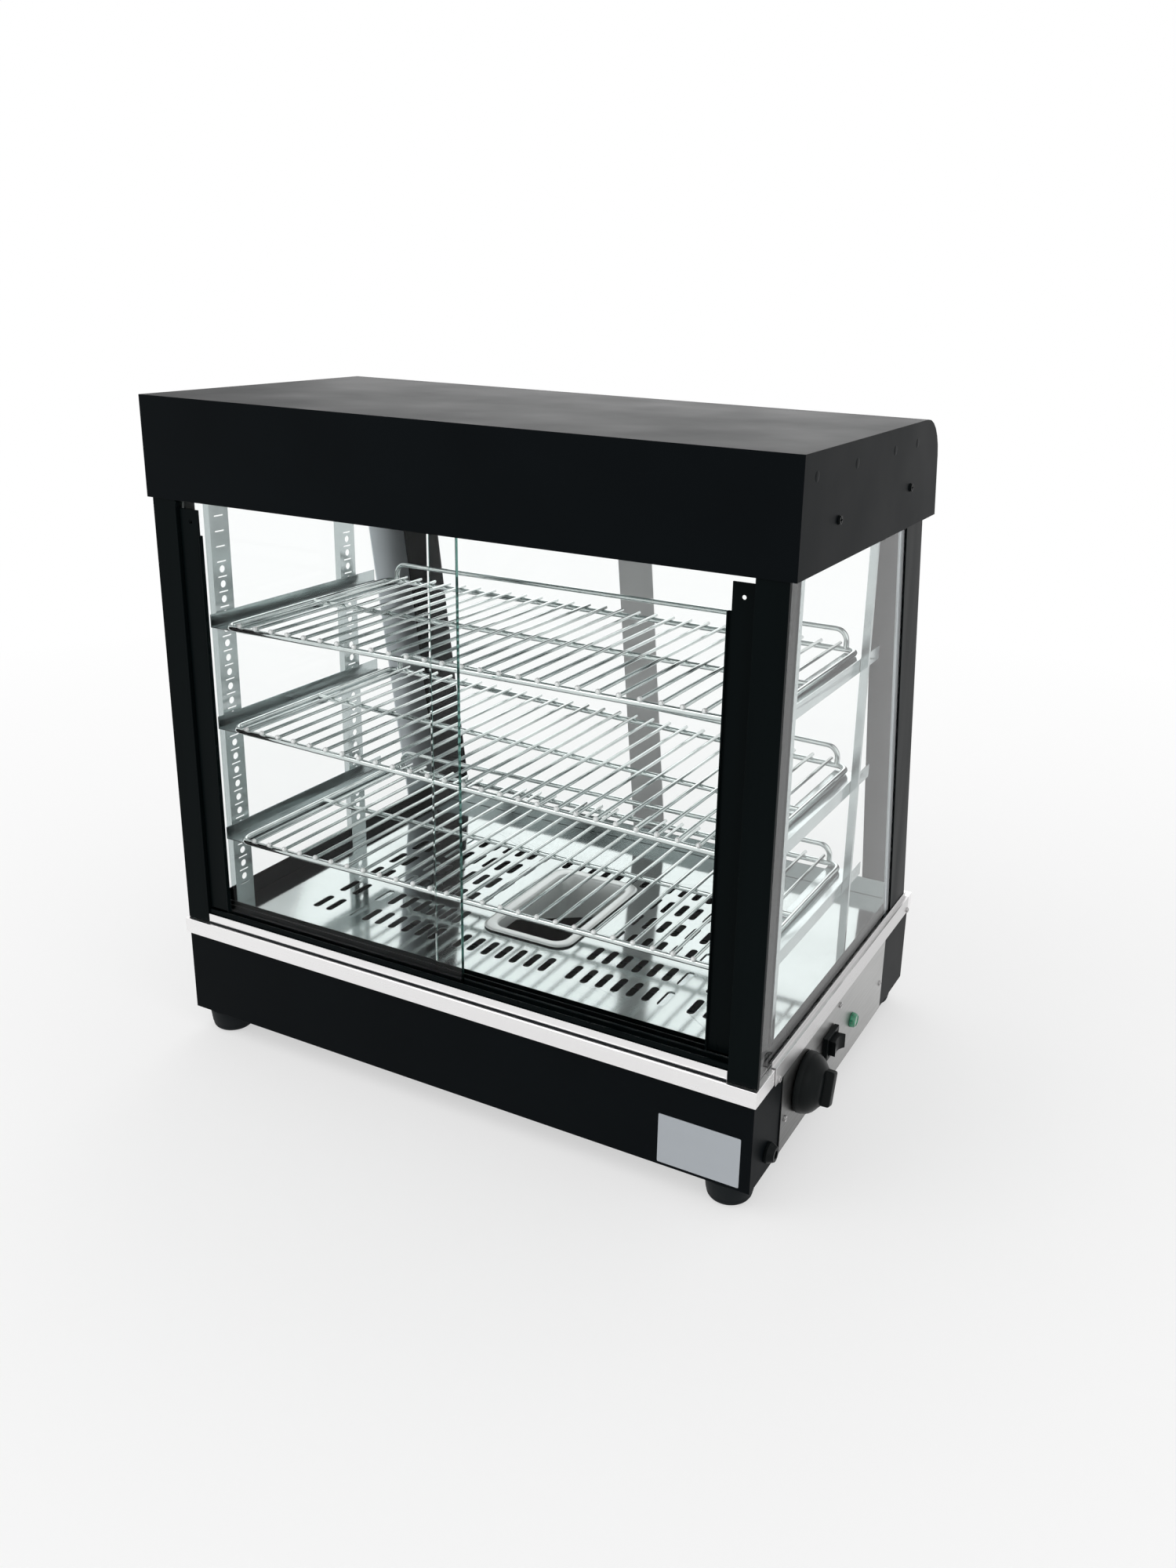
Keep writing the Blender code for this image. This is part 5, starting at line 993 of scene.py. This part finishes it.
def make_stage():
    bpy.context.scene.view_settings.view_transform = "Standard"
    make_camera()
    make_lights()
    make_world()
    make_floor_plane()


def prepare_finishes():
    FINISHES.update(make_finishes())
    dress_nodes()


class DISPLAYCASE_OT_stage(bpy.types.Operator):
    """Camera, light and floor"""
    bl_idname = "displaycase.stage"
    bl_label = "Stage"

    def execute(self, context):
        make_stage()
        return {"FINISHED"}


class DISPLAYCASE_OT_finishes(bpy.types.Operator):
    """Materials on every solid"""
    bl_idname = "displaycase.finishes"
    bl_label = "Finishes"

    def execute(self, context):
        prepare_finishes()
        return {"FINISHED"}


class DISPLAYCASE_OT_canopy(bpy.types.Operator):
    """Canopy with rounded folds and weld marks"""
    bl_idname = "displaycase.canopy"
    bl_label = "Canopy"

    def execute(self, context):
        make_canopy()
        return {"FINISHED"}


class DISPLAYCASE_OT_base(bpy.types.Operator):
    """Base, trim, sills and control panel"""
    bl_idname = "displaycase.base"
    bl_label = "Base"

    def execute(self, context):
        make_base()
        return {"FINISHED"}


class DISPLAYCASE_OT_posts(bpy.types.Operator):
    """Posts, retainers and door tracks"""
    bl_idname = "displaycase.posts"
    bl_label = "Posts"

    def execute(self, context):
        make_posts()
        return {"FINISHED"}


class DISPLAYCASE_OT_panes(bpy.types.Operator):
    """Glass with ground edges"""
    bl_idname = "displaycase.panes"
    bl_label = "Panes"

    def execute(self, context):
        make_panes()
        return {"FINISHED"}


class DISPLAYCASE_OT_doors(bpy.types.Operator):
    """Full-height door pulls"""
    bl_idname = "displaycase.doors"
    bl_label = "Door pulls"

    def execute(self, context):
        make_doors()
        return {"FINISHED"}


class DISPLAYCASE_OT_shelves(bpy.types.Operator):
    """Wire shelves and their rails"""
    bl_idname = "displaycase.shelves"
    bl_label = "Shelves"

    def execute(self, context):
        make_shelves()
        return {"FINISHED"}


class DISPLAYCASE_OT_strips(bpy.types.Operator):
    """Perforated strips"""
    bl_idname = "displaycase.strips"
    bl_label = "Shelf strips"

    def execute(self, context):
        make_shelf_strips()
        return {"FINISHED"}


class DISPLAYCASE_OT_floor(bpy.types.Operator):
    """Slotted floor"""
    bl_idname = "displaycase.floor"
    bl_label = "Floor tray"

    def execute(self, context):
        make_floor()
        return {"FINISHED"}


class DISPLAYCASE_OT_water_pan(bpy.types.Operator):
    """Pan with a rolled rim"""
    bl_idname = "displaycase.water_pan"
    bl_label = "Water pan"

    def execute(self, context):
        make_water_pan()
        return {"FINISHED"}


class DISPLAYCASE_OT_controls(bpy.types.Operator):
    """Knob, switch, pilot lamp and gland"""
    bl_idname = "displaycase.controls"
    bl_label = "Controls"

    def execute(self, context):
        make_controls()
        return {"FINISHED"}


class DISPLAYCASE_OT_fasteners(bpy.types.Operator):
    """Screws that show"""
    bl_idname = "displaycase.fasteners"
    bl_label = "Fasteners"

    def execute(self, context):
        make_fasteners()
        return {"FINISHED"}


class DISPLAYCASE_OT_feet(bpy.types.Operator):
    """Rubber feet"""
    bl_idname = "displaycase.feet"
    bl_label = "Feet"

    def execute(self, context):
        make_feet()
        return {"FINISHED"}


class DISPLAYCASE_OT_rating_plate(bpy.types.Operator):
    """Bare plate"""
    bl_idname = "displaycase.rating_plate"
    bl_label = "Rating plate"

    def execute(self, context):
        make_rating_plate()
        return {"FINISHED"}


OPERATORS = [
    DISPLAYCASE_OT_stage,
    DISPLAYCASE_OT_finishes,
    DISPLAYCASE_OT_canopy,
    DISPLAYCASE_OT_base,
    DISPLAYCASE_OT_posts,
    DISPLAYCASE_OT_panes,
    DISPLAYCASE_OT_doors,
    DISPLAYCASE_OT_shelves,
    DISPLAYCASE_OT_strips,
    DISPLAYCASE_OT_floor,
    DISPLAYCASE_OT_water_pan,
    DISPLAYCASE_OT_controls,
    DISPLAYCASE_OT_fasteners,
    DISPLAYCASE_OT_feet,
    DISPLAYCASE_OT_rating_plate,
]


class DISPLAYCASE_PT_panel(bpy.types.Panel):
    """Builders of the display case."""
    bl_label = "Display case"
    bl_space_type = "VIEW_3D"
    bl_region_type = "UI"
    bl_category = "Display case"

    def draw(self, context):
        for kind in OPERATORS:
            self.layout.operator(kind.bl_idname)


CLASSES = [CaseColours, CaseSizes, *OPERATORS, DISPLAYCASE_PT_panel]


def register():
    for kind in CLASSES:
        bpy.utils.register_class(kind)
    bpy.types.Scene.case_colours = PointerProperty(type=CaseColours)
    bpy.types.Scene.case_sizes = PointerProperty(type=CaseSizes)


def unregister():
    del bpy.types.Scene.case_sizes
    del bpy.types.Scene.case_colours
    for kind in reversed(CLASSES):
        bpy.utils.unregister_class(kind)


def main():
    register()
    for kind in OPERATORS:
        name = kind.bl_idname.split(".")[1]
        getattr(bpy.ops.displaycase, name)()


if __name__ == "__main__":
    main()
